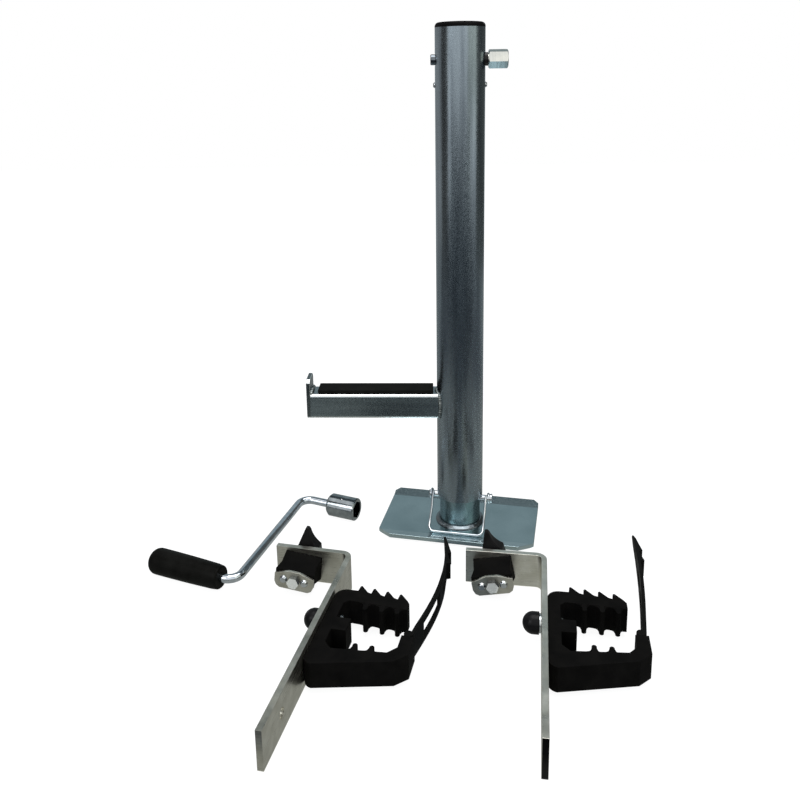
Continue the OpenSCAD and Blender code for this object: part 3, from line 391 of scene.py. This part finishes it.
def turned(name, outline, sides=96):
    """A round shape from (radius, height) pairs in millimetres that go round its section once."""
    mesh = bpy.data.meshes.new(name)
    verts = [(r * MM * cos(2 * pi * k / sides), r * MM * sin(2 * pi * k / sides), h * MM)
             for r, h in outline for k in range(sides)]
    faces = []
    for i in range(len(outline)):
        after = (i + 1) % len(outline)
        for k in range(sides):
            beside = (k + 1) % sides
            faces.append((i * sides + k, i * sides + beside, after * sides + beside, after * sides + k))
    mesh.from_pydata(verts, [], faces)
    bm = bmesh.new()
    bm.from_mesh(mesh)
    bmesh.ops.remove_doubles(bm, verts=bm.verts, dist=MERGE_GAP)
    bmesh.ops.dissolve_degenerate(bm, edges=bm.edges, dist=MERGE_GAP)
    bmesh.ops.recalc_face_normals(bm, faces=bm.faces)
    bm.to_mesh(mesh)
    bm.free()
    mesh.polygons.foreach_set("use_smooth", [True] * len(mesh.polygons))
    mesh.set_sharp_from_angle(angle=radians(SHARP_FROM))
    return mesh


def moulded_plastic(name, colour, gloss, peel=0.0012, depth=0.00004, shine=0.3):
    """Moulded plastic: an even colour with a little bloom, and a fine texture from the mould."""
    finish, tree, shader, place = start_finish(name)
    cloud = grain(tree, place, 0.02, detail=4)
    skin = grain(tree, place, peel, detail=2)
    lighter = tuple(min(1, c * 1.7 + 0.004) for c in colour)
    tree.links.new(shades(tree, cloud, colour, lighter), shader.inputs["Base Color"])
    tree.links.new(span(tree, cloud, gloss[0], gloss[1]), shader.inputs["Roughness"])
    shader.inputs["Specular IOR Level"].default_value = shine
    relief(tree, shader, skin, 0.3, depth)
    return finish


CAP_TONE = moulded_plastic("cap_plastic", (0.0025, 0.0025, 0.0025), (0.4, 0.5), shine=0.015)
TUBE_R, PLUG_R, BORE_R = 28.575, 25.475, 23.175
RIM_ROUND, RIM_DROP, FLANGE, TOP_WALL = 4.6, 5.5, 6.4, 5
PLUG_END, PLUG_EDGE = 18.4, 0.6
cap_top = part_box("top_cap")[1].z / MM
cap_line = [(0, cap_top), (15, cap_top - 0.3), (22, cap_top - 0.7)]
for degrees in range(10, 91, 10):
    cap_line.append((TUBE_R - RIM_ROUND + RIM_ROUND * sin(radians(degrees)),
                     cap_top - RIM_DROP + RIM_ROUND * cos(radians(degrees))))
cap_line += [(TUBE_R, cap_top - FLANGE), (PLUG_R, cap_top - FLANGE),
             (PLUG_R, cap_top - PLUG_END + PLUG_EDGE), (PLUG_R - PLUG_EDGE, cap_top - PLUG_END),
             (BORE_R, cap_top - PLUG_END), (BORE_R, cap_top - TOP_WALL), (0, cap_top - TOP_WALL)]
keep_piece(turned("cap_moulding", cap_line), "cap_moulding", CAP_TONE, "top_cap")

# Lifting arm: a square tube of 32 mm, coped to the column, with a plate across its end that stands
# up as a lip. Both are plated after welding, and their rounded edges carry a painted highlight.
# painted highlight: a near-white colour laid on the rounded edges of the arm and its lip
EDGE_HIGHLIGHT = (0.93, 0.96, 0.96)
ARM_TONE = plated_steel("arm_zinc", (0.28, 0.34, 0.37), (0.4, 0.48, 0.51), (0.2, 0.32),
                        streak=(0.05, 1, 1), edge=EDGE_HIGHLIGHT)
ease_edges("lift_arm", "arm_tube", ARM_TONE, 0.4)
LIP_TONE = plated_steel("lip_zinc", (0.15, 0.18, 0.19), (0.23, 0.27, 0.28), (0.2, 0.32),
                        streak=(1, 1, 1), edge=EDGE_HIGHLIGHT)
ease_edges("arm_end_plate", "arm_lip", LIP_TONE, 0.8, steps=3)

# Welds: a rippled bead round the joint of arm and column, and one in the corner of the lip. Each is
# a row of overlapping drops laid along the seam, as the torch leaves them, and plated over.
WELD_PITCH, WELD_R = 1.5 * MM, 2.7 * MM
DROP_SHAPE, DROP_SIZES, DROP_FACES, DROP_SEED = (1.0, 1.0, 0.8), (0.88, 1.1), (12, 8), 4
SEAM_STEPS, SEAM_SINK, SEAM_OUT = 96, 0.6 * MM, 0.3 * MM
CORNER_CUT, CORNER_SPAN = 0.1, 0.293
LIP_HALF, LIP_STEP, LIP_RISE = 12, 2, 0.2 * MM


def weld_tree(finish):
    """Geometry nodes that lay flattened drops along a curve."""
    tree = bpy.data.node_groups.new("weld_ripples", "GeometryNodeTree")
    tree.interface.new_socket("Geometry", in_out="INPUT", socket_type="NodeSocketGeometry")
    pitch = tree.interface.new_socket("Pitch", in_out="INPUT", socket_type="NodeSocketFloat")
    radius = tree.interface.new_socket("Radius", in_out="INPUT", socket_type="NodeSocketFloat")
    tree.interface.new_socket("Geometry", in_out="OUTPUT", socket_type="NodeSocketGeometry")
    source, result = tree.nodes.new("NodeGroupInput"), tree.nodes.new("NodeGroupOutput")
    to_curve = tree.nodes.new("GeometryNodeMeshToCurve")
    points = tree.nodes.new("GeometryNodeCurveToPoints")
    points.mode = "LENGTH"
    drop = tree.nodes.new("GeometryNodeMeshUVSphere")
    drop.inputs["Segments"].default_value, drop.inputs["Rings"].default_value = DROP_FACES
    squash = tree.nodes.new("ShaderNodeCombineXYZ")
    for i in range(3):
        squash.inputs[i].default_value = DROP_SHAPE[i]
    vary = tree.nodes.new("FunctionNodeRandomValue")
    vary.data_type = "FLOAT"
    vary.inputs["Seed"].default_value = DROP_SEED
    vary.inputs[2].default_value, vary.inputs[3].default_value = DROP_SIZES
    size = tree.nodes.new("ShaderNodeVectorMath")
    size.operation = "SCALE"
    place = tree.nodes.new("GeometryNodeInstanceOnPoints")
    real = tree.nodes.new("GeometryNodeRealizeInstances")
    smooth = tree.nodes.new("GeometryNodeSetShadeSmooth")
    dress = tree.nodes.new("GeometryNodeSetMaterial")
    dress.inputs["Material"].default_value = finish
    link = tree.links.new
    link(source.outputs["Geometry"], to_curve.inputs["Mesh"])
    link(to_curve.outputs["Curve"], points.inputs["Curve"])
    link(source.outputs["Pitch"], points.inputs["Length"])
    link(source.outputs["Radius"], drop.inputs["Radius"])
    link(points.outputs["Points"], place.inputs["Points"])
    link(points.outputs["Rotation"], place.inputs["Rotation"])
    link(drop.outputs["Mesh"], place.inputs["Instance"])
    link(squash.outputs[0], size.inputs[0])
    link(vary.outputs[1], size.inputs["Scale"])
    link(size.outputs[0], place.inputs["Scale"])
    link(place.outputs["Instances"], real.inputs["Geometry"])
    link(real.outputs["Geometry"], smooth.inputs["Geometry"])
    link(smooth.outputs["Geometry"], dress.inputs["Geometry"])
    link(dress.outputs["Geometry"], result.inputs["Geometry"])
    return tree, pitch.identifier, radius.identifier


def settle(obj, name):
    """Turns what the modifiers of an object make into a plain mesh, and removes the object."""
    graph = bpy.context.evaluated_depsgraph_get()
    mesh = bpy.data.meshes.new_from_object(obj.evaluated_get(graph))
    mesh.name = name
    bpy.data.objects.remove(obj)
    return mesh


def seam(points, closed):
    """A mesh of edges only, for the weld to follow."""
    mesh = bpy.data.meshes.new("seam")
    edges = [(i, i + 1) for i in range(len(points) - 1)] + ([(len(points) - 1, 0)] if closed else [])
    mesh.from_pydata(points, edges, [])
    return mesh


WELD_TONE = plated_steel("weld_zinc", (0.2, 0.23, 0.235), (0.42, 0.45, 0.44), (0.2, 0.34),
                         streak=(1, 1, 1), speck=0.0014)
column_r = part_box("column_tube")[1].x
arm_low, arm_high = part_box("lift_arm")
half_side = (arm_high.y - arm_low.y) / 2 - SEAM_SINK
arm_middle = (arm_high.z + arm_low.z) / 2
round_seam = []
for i in range(SEAM_STEPS):
    turn = 2 * pi * i / SEAM_STEPS
    corner = max(abs(cos(turn)), abs(sin(turn)))
    stretch = half_side / corner * (1 - CORNER_CUT * (1 - corner) / CORNER_SPAN)
    across, up = stretch * cos(turn), stretch * sin(turn)
    round_seam.append((-sqrt(column_r ** 2 - across ** 2) - SEAM_OUT, across, arm_middle + up))
lip_seam = [(arm_low.x + SEAM_SINK, y * MM, arm_high.z + LIP_RISE)
            for y in range(-LIP_HALF, LIP_HALF + 1, LIP_STEP)]
bead, pitch_input, radius_input = weld_tree(WELD_TONE)
weld_meshes = []
for points, closed in ((round_seam, True), (lip_seam, False)):
    carrier = bpy.data.objects.new("weld_carrier", seam(points, closed))
    bpy.context.scene.collection.objects.link(carrier)
    ripples = carrier.modifiers.new("ripples", "NODES")
    ripples.node_group = bead
    ripples[pitch_input] = WELD_PITCH
    ripples[radius_input] = WELD_R
    weld_meshes.append(settle(carrier, "weld"))
bm = bmesh.new()
for mesh in weld_meshes:
    bm.from_mesh(mesh)
for face in bm.faces:
    face.material_index = 0
welds = bpy.data.meshes.new("weld_beads")
bm.to_mesh(welds)
bm.free()
keep_piece(welds, "weld_beads", WELD_TONE, "arm_welds")

# Pad: a strip of ribbed sheet rubber glued on the arm, so that the load doesn't slip. It is dull
# and slightly warm black, with dust in its surface.
def black_rubber(name, low, high, gloss=(0.58, 0.74), pore=0.0009, depth=0.00007):
    """Moulded rubber: dull, slightly uneven black with a dusty bloom and fine pores."""
    finish, tree, shader, place = start_finish(name)
    cloud = grain(tree, place, 0.018, detail=6, distort=0.4)
    pores = grain(tree, place, pore, detail=3)
    tree.links.new(shades(tree, cloud, low, high), shader.inputs["Base Color"])
    tree.links.new(span(tree, cloud, gloss[0], gloss[1]), shader.inputs["Roughness"])
    shader.inputs["Specular IOR Level"].default_value = 0.035
    relief(tree, shader, pores, 0.35, depth)
    return finish


PAD_TONE = black_rubber("pad_rubber", (0.004, 0.004, 0.0038), (0.009, 0.009, 0.008))
ease_edges("arm_pad", "pad_strip", PAD_TONE, 0.7, steps=3)

# Head fittings: dark plastic bushes that carry the shaft, and two button screws that hold the
# bearing plate inside the tube.
BUSH_TONE = moulded_plastic("bush_plastic", (0.008, 0.007, 0.006), (0.35, 0.5))
SCREW_TONE = plated_steel("screw_plate", (0.45, 0.48, 0.5), (0.75, 0.78, 0.8), (0.12, 0.22),
                          streak=(1, 1, 1), speck=0.0008, speck_mix=0.25)
ease_edges("bush_left", "left_bush", BUSH_TONE, 0.3)
ease_edges("bush_right", "right_bush", BUSH_TONE, 0.5)
ease_edges("bearing_screws", "plate_screws", SCREW_TONE, 0.25)

# Drive shaft: turned steel with a 19 mm hexagon for the crank. The hexagon is plated a pale,
# slightly yellow silver with a painted dark reflection on its downward faces, and the shaft's far
# end is darker.
def machined_steel(name, low, high, gloss, marks=(1, 0.08, 0.08), size=0.0015, depth=0.00003):
    """Machined steel: fine parallel tool marks in colour, gloss and relief."""
    finish, tree, shader, place = start_finish(name)
    tool = grain(tree, place, size, marks, detail=4)
    cloud = grain(tree, place, 0.012, detail=3)
    tone = blend_colours(tree, "MULTIPLY", 0.35, shades(tree, cloud, low, high),
                         shades(tree, tool, (0.6, 0.6, 0.6), (1, 1, 1)))
    tree.links.new(tone, shader.inputs["Base Color"])
    shader.inputs["Metallic"].default_value = 1.0
    tree.links.new(span(tree, tool, gloss[0], gloss[1]), shader.inputs["Roughness"])
    relief(tree, shader, tool, 0.3, depth)
    return finish


HEX_TONE = machined_steel("hex_zinc", (0.72, 0.74, 0.70), (0.9, 0.9, 0.82), (0.1, 0.18))
hex_tree = HEX_TONE.node_tree
# painted reflection: the hexagon's downward-facing faces are painted dark
retone(HEX_TONE, ramp_along(hex_tree, "Normal", 2, -0.45, -0.6), (0.19, 0.22, 0.23))
# the shaft's far end, below x = 0.02, is darker
retone(HEX_TONE, ramp_along(hex_tree, "Object", 0, 0.02, 0.0), (0.16, 0.18, 0.2))
ease_edges("drive_shaft", "hex_shaft", HEX_TONE, 0.4, steps=2)

# Inside the head and column: gears, bearing, screw, nut and their pins. They are oiled machined
# steel, dark sintered gears and a bronze nut and cage, and show only when a cover is taken off.
OILED = machined_steel("oiled_steel", (0.22, 0.22, 0.23), (0.4, 0.4, 0.41), (0.2, 0.35),
                       marks=(0.1, 0.1, 1), size=0.001)
GEAR_TONE = plated_steel("gear_steel", (0.03, 0.03, 0.032), (0.09, 0.09, 0.092), (0.3, 0.5),
                         streak=(1, 1, 1), speck=0.0012)
BRONZE = machined_steel("cast_bronze", (0.32, 0.2, 0.08), (0.52, 0.36, 0.17), (0.22, 0.38),
                        marks=(0.1, 0.1, 1), size=0.001)
GROUND = machined_steel("ground_steel", (0.5, 0.5, 0.52), (0.68, 0.69, 0.7), (0.08, 0.16),
                        marks=(1, 1, 1), size=0.0006)
for node in ("bearing_plate", "foot_spigot", "screw_stop", "lead_screw"):
    paint(node, OILED)
for node in ("drive_pinion", "screw_gear"):
    paint(node, GEAR_TONE)
for node in ("screw_nut", "thrust_cage"):
    paint(node, BRONZE)
for node in ("race_upper", "race_lower", "thrust_balls", "pinion_pin", "gear_pin", "shaft_clip",
             "nut_pins"):
    paint(node, GROUND)

# Ram: the inner tube, bright-drawn and plated. It is smoother than the column and more teal, with
# light scuffs round it where it runs in the column.
RAM_TONE = plated_steel("ram_zinc", (0.22, 0.31, 0.34), (0.27, 0.37, 0.40), (0.24, 0.34),
                        streak=(1, 1, 0.3), speck=0.0012, speck_mix=0.12)
ease_edges("ram_tube", "ram_outer", RAM_TONE, 0.4)

# Foot: a plate with its front and rear edges pressed up so that it slides over rough ground, and a
# collar welded round the ram. The plating is teal and cloudy, with a painted pale reflection on the
# forward-facing rear edge and a painted highlight along the rounded edges.
FOOT_TONE = plated_steel("foot_zinc", (0.36, 0.47, 0.50), (0.46, 0.58, 0.61), (0.17, 0.25),
                         streak=(1, 1, 1), speck=0.0009, speck_mix=0.12, streak_size=0.05,
                         edge=(0.9, 0.95, 0.96))
# painted reflection: faces tilted towards the front, as on the rear edge, are painted paler
retone(FOOT_TONE, ramp_along(FOOT_TONE.node_tree, "Normal", 1, -0.08, -0.2), (0.5, 0.62, 0.65))
COLLAR_TONE = plated_steel("collar_zinc", (0.13, 0.155, 0.17), (0.25, 0.28, 0.3), (0.14, 0.26),
                           streak=(1, 1, 1), speck=0.0016, speck_mix=0.3, streak_size=0.006)
ease_edges("foot_plate", "foot_sheet", FOOT_TONE, 0.9, steps=3, angle=8)
ease_edges("foot_collar", "foot_ring", COLLAR_TONE, 0.5)

# Lock pin and bail: a bright pin through the ram, held by a bail of 3 mm spring wire whose ends are
# wound round the pin. The bail lies on the foot and is lifted with a finger.
def polished(name, low, high, gloss=(0.05, 0.12)):
    """Bright plate with faint clouds and fine wiping marks."""
    finish, tree, shader, place = start_finish(name)
    cloud = grain(tree, place, 0.01, detail=4)
    wipe = grain(tree, place, 0.0012, (1, 0.2, 1), detail=2)
    tree.links.new(shades(tree, cloud, low, high), shader.inputs["Base Color"])
    shader.inputs["Metallic"].default_value = 1.0
    tree.links.new(span(tree, wipe, gloss[0], gloss[1]), shader.inputs["Roughness"])
    relief(tree, shader, wipe, 0.12, 0.00002)
    return finish


def bent_wire(points, radius, sides, ends=0.25):
    """A round bar along a line of points, with its ends closed and slightly rounded."""
    frames = []
    points = [Vector(p) for p in points]
    normal = None
    for i, p in enumerate(points):
        along = (points[min(i + 1, len(points) - 1)] - points[max(i - 1, 0)]).normalized()
        if normal is None:
            normal = along.orthogonal().normalized()
        normal = (normal - normal.dot(along) * along).normalized()
        frames.append((p, along, normal, along.cross(normal)))
    first, last = frames[0], frames[-1]
    steps = [(first[0] - first[1] * radius * ends, first[2], first[3], 1 - ends)]
    steps += [(p, n, b, 1.0) for p, _, n, b in frames]
    steps += [(last[0] + last[1] * radius * ends, last[2], last[3], 1 - ends)]
    verts, faces = [], []
    for p, n, b, share in steps:
        verts += [p + (n * cos(2 * pi * k / sides) + b * sin(2 * pi * k / sides)) * radius * share
                  for k in range(sides)]
    for i in range(len(steps) - 1):
        for k in range(sides):
            a, c = i * sides + k, i * sides + (k + 1) % sides
            faces.append((a, c, c + sides, a + sides))
    faces.append(tuple(range(sides - 1, -1, -1)))
    faces.append(tuple(range((len(steps) - 1) * sides, len(steps) * sides)))
    mesh = bpy.data.meshes.new("bar")
    mesh.from_pydata([tuple(v) for v in verts], [], faces)
    mesh.polygons.foreach_set("use_smooth", [True] * len(mesh.polygons))
    mesh.set_sharp_from_angle(angle=radians(SHARP_FROM))
    return mesh


def corner_points(before, corner, after, radius, steps=8):
    """The points of a rounded corner between two straight runs."""
    before, corner, after = Vector(before), Vector(corner), Vector(after)
    a, b = (before - corner).normalized(), (after - corner).normalized()
    half = a.angle(b) / 2
    reach = radius / tan(half)
    centre = corner + (a + b).normalized() * radius / sin(half)
    start, end = corner + a * reach - centre, corner + b * reach - centre
    sweep = start.angle(end)
    axis = start.cross(end).normalized()
    return [centre + Matrix.Rotation(sweep * i / steps, 3, axis) @ start for i in range(steps + 1)]


BRIGHT = polished("bright_wire", (0.45, 0.49, 0.53), (0.74, 0.77, 0.79), (0.04, 0.1))
ease_edges("lock_pin", "pin_bar", BRIGHT, 0.4)
FOOT_TURN = radians(-10.3)
pin_low, pin_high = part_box("lock_pin")
pin_z = (pin_low.z + pin_high.z) / 2
bail_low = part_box("wire_bail")[0]
WIRE_R, COIL_R = 1.5 * MM, 5.35 * MM
BAIL_HALF, BAIL_LENGTH, BAIL_ROUND = 33.5 * MM, 50 * MM, 7 * MM
COIL_TURNS, COIL_PITCH, COIL_STEPS = 1.75, 3.05 * MM, 35
LEG_START, LEG_RISE, LEG_STRAIGHT, LEG_LOW, WIRE_SIDES = 8 * MM, COIL_R * 0.85, 20 * MM, 0.5 * MM, 14
drop = asin((pin_z - bail_low.z - WIRE_R) / BAIL_LENGTH)
foot_turn = Matrix.Rotation(FOOT_TURN, 3, "Z")


def on_bail(x, reach, rise):
    """A point of the bail: across, out from the pin, and square to the bail's plane."""
    out = Vector((0, -cos(drop), -sin(drop)))
    up = Vector((0, -sin(drop), cos(drop)))
    return foot_turn @ (Vector((x, 0, pin_z)) + out * reach + up * rise)


def coil(side):
    """Nearly two turns of wire round the pin, from the outside in, ending where the leg leaves."""
    points = []
    for i in range(COIL_STEPS + 1):
        left = 1 - i / COIL_STEPS
        turn = pi / 2 - 2 * pi * COIL_TURNS * left
        x = side * (BAIL_HALF + COIL_PITCH * COIL_TURNS * left)
        points.append(on_bail(x, COIL_R * cos(turn), COIL_R * sin(turn)))
    return points


def leg(side):
    """The start of one leg, from its coil outwards."""
    return [on_bail(side * BAIL_HALF, LEG_START, LEG_RISE),
            on_bail(side * BAIL_HALF, LEG_STRAIGHT, LEG_LOW)]


near_left, near_right = on_bail(-BAIL_HALF, LEG_START, 0), on_bail(BAIL_HALF, LEG_START, 0)
end_left, end_right = on_bail(-BAIL_HALF, BAIL_LENGTH, 0), on_bail(BAIL_HALF, BAIL_LENGTH, 0)
bail_line = coil(-1) + leg(-1) + corner_points(near_left, end_left, end_right, BAIL_ROUND)
bail_line += corner_points(end_left, end_right, near_right, BAIL_ROUND) + leg(1)[::-1] + coil(1)[::-1]
keep_piece(bent_wire(bail_line, WIRE_R, WIRE_SIDES), "bail_wire", BRIGHT, "wire_bail")

# Crank: a 10 mm rod with two bends, a hexagonal socket on one end and a turning grip on the other.
# Rod and socket are bright chrome, and the socket has a detent ball in its wall.
CHROME = polished("crank_chrome", (0.5, 0.56, 0.62), (0.72, 0.77, 0.82), (0.04, 0.1))
ROD_R, BEND_R, ROD_SIDES, BEND_STEPS = 5 * MM, 14 * MM, 40, 14
THROW, GRIP_REACH, SOCKET_REACH = 0.1926, 0.1056, 0.048
THROW_ANGLE, GRIP_ANGLE, SOCKET_ANGLE = 75.5, 158.5, -21.5
first_bend = Vector((-0.2545, -0.156, 0.015))


def level_way(angle):
    """The level direction at an angle in degrees from the X axis."""
    return Vector((cos(radians(angle)), sin(radians(angle)), 0))


second_bend = first_bend + level_way(THROW_ANGLE) * THROW
grip_end = first_bend + level_way(GRIP_ANGLE) * GRIP_REACH
socket_end = second_bend + level_way(SOCKET_ANGLE) * SOCKET_REACH
rod_line = [grip_end] + corner_points(grip_end, first_bend, second_bend, BEND_R, BEND_STEPS)
rod_line += corner_points(first_bend, second_bend, socket_end, BEND_R, BEND_STEPS) + [socket_end]
keep_piece(bent_wire(rod_line, ROD_R, ROD_SIDES), "crank_bar", CHROME, "crank_rod")
SOCKET_TONE = polished("socket_chrome", (0.2, 0.23, 0.245), (0.4, 0.44, 0.46), (0.06, 0.12))
ease_edges("crank_socket", "socket_barrel", SOCKET_TONE, 0.5, steps=3)
GRIP_TONE = moulded_plastic("grip_plastic", (0.0025, 0.0025, 0.002), (0.34, 0.48), peel=0.0016,
                            shine=0.04)
ease_edges("crank_grip", "grip_sleeve", GRIP_TONE, 0.6, steps=3)
paint("socket_ball", GROUND)
paint("grip_clip", GROUND)

# Brackets: flat stainless bar bent to a right angle and brushed. The right one is given painted
# light, a brighter tone than the left, and its cut end a painted dark reflection. Each carries a
# rubber clamp with its strap on the long leg, bolted through with a domed black nut, and on the
# short leg a rubber anchor that a cam lever draws tight.
BRUSHED = {"gloss": (0.26, 0.38), "marks": (0.05, 0.05, 1), "size": 0.0012}
PLATE_TONE = machined_steel("bar_steel", (0.52, 0.51, 0.44), (0.68, 0.67, 0.6), **BRUSHED)
# painted light: the right bar gets a brighter copy of the left bar's tone
RIGHT_PAINTED_TONE = machined_steel("bar_steel_painted_light", (0.72, 0.71, 0.62), (0.9, 0.89, 0.81), **BRUSHED)
right_tree = RIGHT_PAINTED_TONE.node_tree
# painted reflection: the right bar's forward-facing cut end is painted near black
painted_reflection_mask = right_tree.nodes.new("ShaderNodeMath")
painted_reflection_mask.operation = "MULTIPLY"
right_tree.links.new(ramp_along(right_tree, "Normal", 1, -0.93, -0.97), painted_reflection_mask.inputs[0])
right_tree.links.new(ramp_along(right_tree, "Object", 1, -0.35, -0.36), painted_reflection_mask.inputs[1])
retone(RIGHT_PAINTED_TONE, painted_reflection_mask.outputs[0], (0.03, 0.03, 0.03))
BAR_TONES = {"left": PLATE_TONE, "right": RIGHT_PAINTED_TONE}
BOLT_TONE = polished("bolt_zinc", (0.05, 0.055, 0.06), (0.14, 0.15, 0.15), (0.12, 0.2))
BOLT_TONE.node_tree.nodes["Principled BSDF"].inputs["Metallic"].default_value = 0.6
# painted highlight: the forward-facing faces of the anchor bolts are painted near white
retone(BOLT_TONE, ramp_along(BOLT_TONE.node_tree, "Normal", 1, -0.88, -0.95), (0.95, 0.97, 0.93))
NUT_TONE = moulded_plastic("knob_plastic", (0.003, 0.003, 0.0035), (0.2, 0.3), shine=0.1)
LEVER_TONE = moulded_plastic("lever_plastic", (0.004, 0.004, 0.004), (0.35, 0.5), shine=0.12)
CLAMP_TONE = black_rubber("clamp_rubber", (0.0022, 0.0021, 0.002), (0.0055, 0.0052, 0.0048))
STRAP_TONE = black_rubber("strap_rubber", (0.0035, 0.0034, 0.0032), (0.008, 0.0078, 0.0072),
                          gloss=(0.42, 0.6))
BLOCK_TONE = black_rubber("anchor_rubber", (0.002, 0.002, 0.0019), (0.005, 0.0048, 0.0045))
PLACES = {"left": (-123.5, -135.5, -11.1), "right": (92.5, -135.5, -7)}
CLAMP_DOWN, CLAMP_LOW, CLAMP_HIGH = 96, 7.1, 32.9
RIBS = [(37, 18, -1), (54.5, 17, -1), (70.5, 16.4, -1), (43, -53.2, 1), (59.5, -51.8, 1)]
ROOT_SHAPE = [(-8, 0), (-5.2, 0.6), (-3.6, 1.9), (-2.6, 5), (2.6, 5), (3.6, 1.9), (5.2, 0.6), (8, 0),
              (8, -1.5), (-8, -1.5)]
HEAD_WIDER, HEAD_TALLER, FACE_GAP = 1.5, 1.4, 0.0001


def rib_roots(side):
    """Soft roots for the clamp's ribs: each rib is its place along the wall, the wall, and its way."""
    x0, y0, angle = PLACES[side]
    corner, turn = Vector((x0, y0, 0)), Matrix.Rotation(radians(angle), 3, "Z")
    verts, faces = [], []
    for x, wall, way in RIBS:
        first, count = len(verts), len(ROOT_SHAPE)
        for z in (CLAMP_LOW, CLAMP_HIGH):
            verts += [(corner + turn @ Vector((x + u, wall + way * v - CLAMP_DOWN, z))) * MM
                      for u, v in ROOT_SHAPE]
        low, high = range(first, first + count), range(first + count, first + 2 * count)
        faces += [tuple(low), tuple(high)]
        faces += [(low[i], low[(i + 1) % count], high[(i + 1) % count], high[i]) for i in range(count)]
    mesh = bpy.data.meshes.new("roots")
    mesh.from_pydata([tuple(v) for v in verts], [], faces)
    bm = bmesh.new()
    bm.from_mesh(mesh)
    bmesh.ops.recalc_face_normals(bm, faces=bm.faces)
    bm.to_mesh(mesh)
    bm.free()
    return mesh


def fuller_heads(rivets, plate, side):
    """Makes the rivets' heads, outside the plate, wider and taller."""
    turn = radians(PLACES[side][2])
    out, across = Vector((sin(turn), -cos(turn), 0)), Vector((cos(turn), sin(turn), 0))
    face = max(v.co.dot(out) for v in plate.data.vertices)
    middle = sum(v.co.dot(across) for v in rivets.data.vertices) / len(rivets.data.vertices)
    for way in (-1, 1):
        own = [v for v in rivets.data.vertices if (v.co.dot(across) - middle) * way > 0]
        centre = sum((v.co for v in own), Vector()) / len(own)
        for v in own:
            beyond = v.co.dot(out) - face
            if beyond > -FACE_GAP:
                aside = v.co - centre
                aside -= out * aside.dot(out)
                v.co += aside * (HEAD_WIDER - 1) + out * max(0, beyond) * (HEAD_TALLER - 1)


for side in ("left", "right"):
    ease_edges("bar_" + side, "bent_bar_" + side, BAR_TONES[side], 0.5, steps=3)
    ease_edges("clamp_" + side, "clamp_moulding_" + side, CLAMP_TONE, 0.7, steps=3)
    keep_piece(rib_roots(side), "rib_roots_" + side, CLAMP_TONE, "clamp_" + side)
    ease_edges("clamp_bolt_" + side, "clamp_screw_" + side, SCREW_TONE, 0.4)
    ease_edges("clamp_washer_" + side, "washer_" + side, SCREW_TONE, 0.3)
    ease_edges("cap_nut_" + side, "domed_nut_" + side, NUT_TONE, 0.5)
    ease_edges("strap_" + side, "strap_band_" + side, STRAP_TONE, 0.6, steps=3)
    ease_edges("anchor_block_" + side, "anchor_rubber_" + side, BLOCK_TONE, 0.8, steps=3)
    plate = ease_edges("end_plate_" + side, "anchor_plate_" + side, PLATE_TONE, 0.5, steps=3)
    rivets = ease_edges("anchor_rivets_" + side, "rivet_heads_" + side, BRIGHT, 0.3)
    fuller_heads(rivets, plate, side)
    ease_edges("anchor_rod_" + side, "anchor_bolt_" + side, BOLT_TONE, 0.4)
    ease_edges("lever_" + side, "cam_lever_" + side, LEVER_TONE, 0.7, steps=3)
    paint("lever_pin_" + side, OILED)
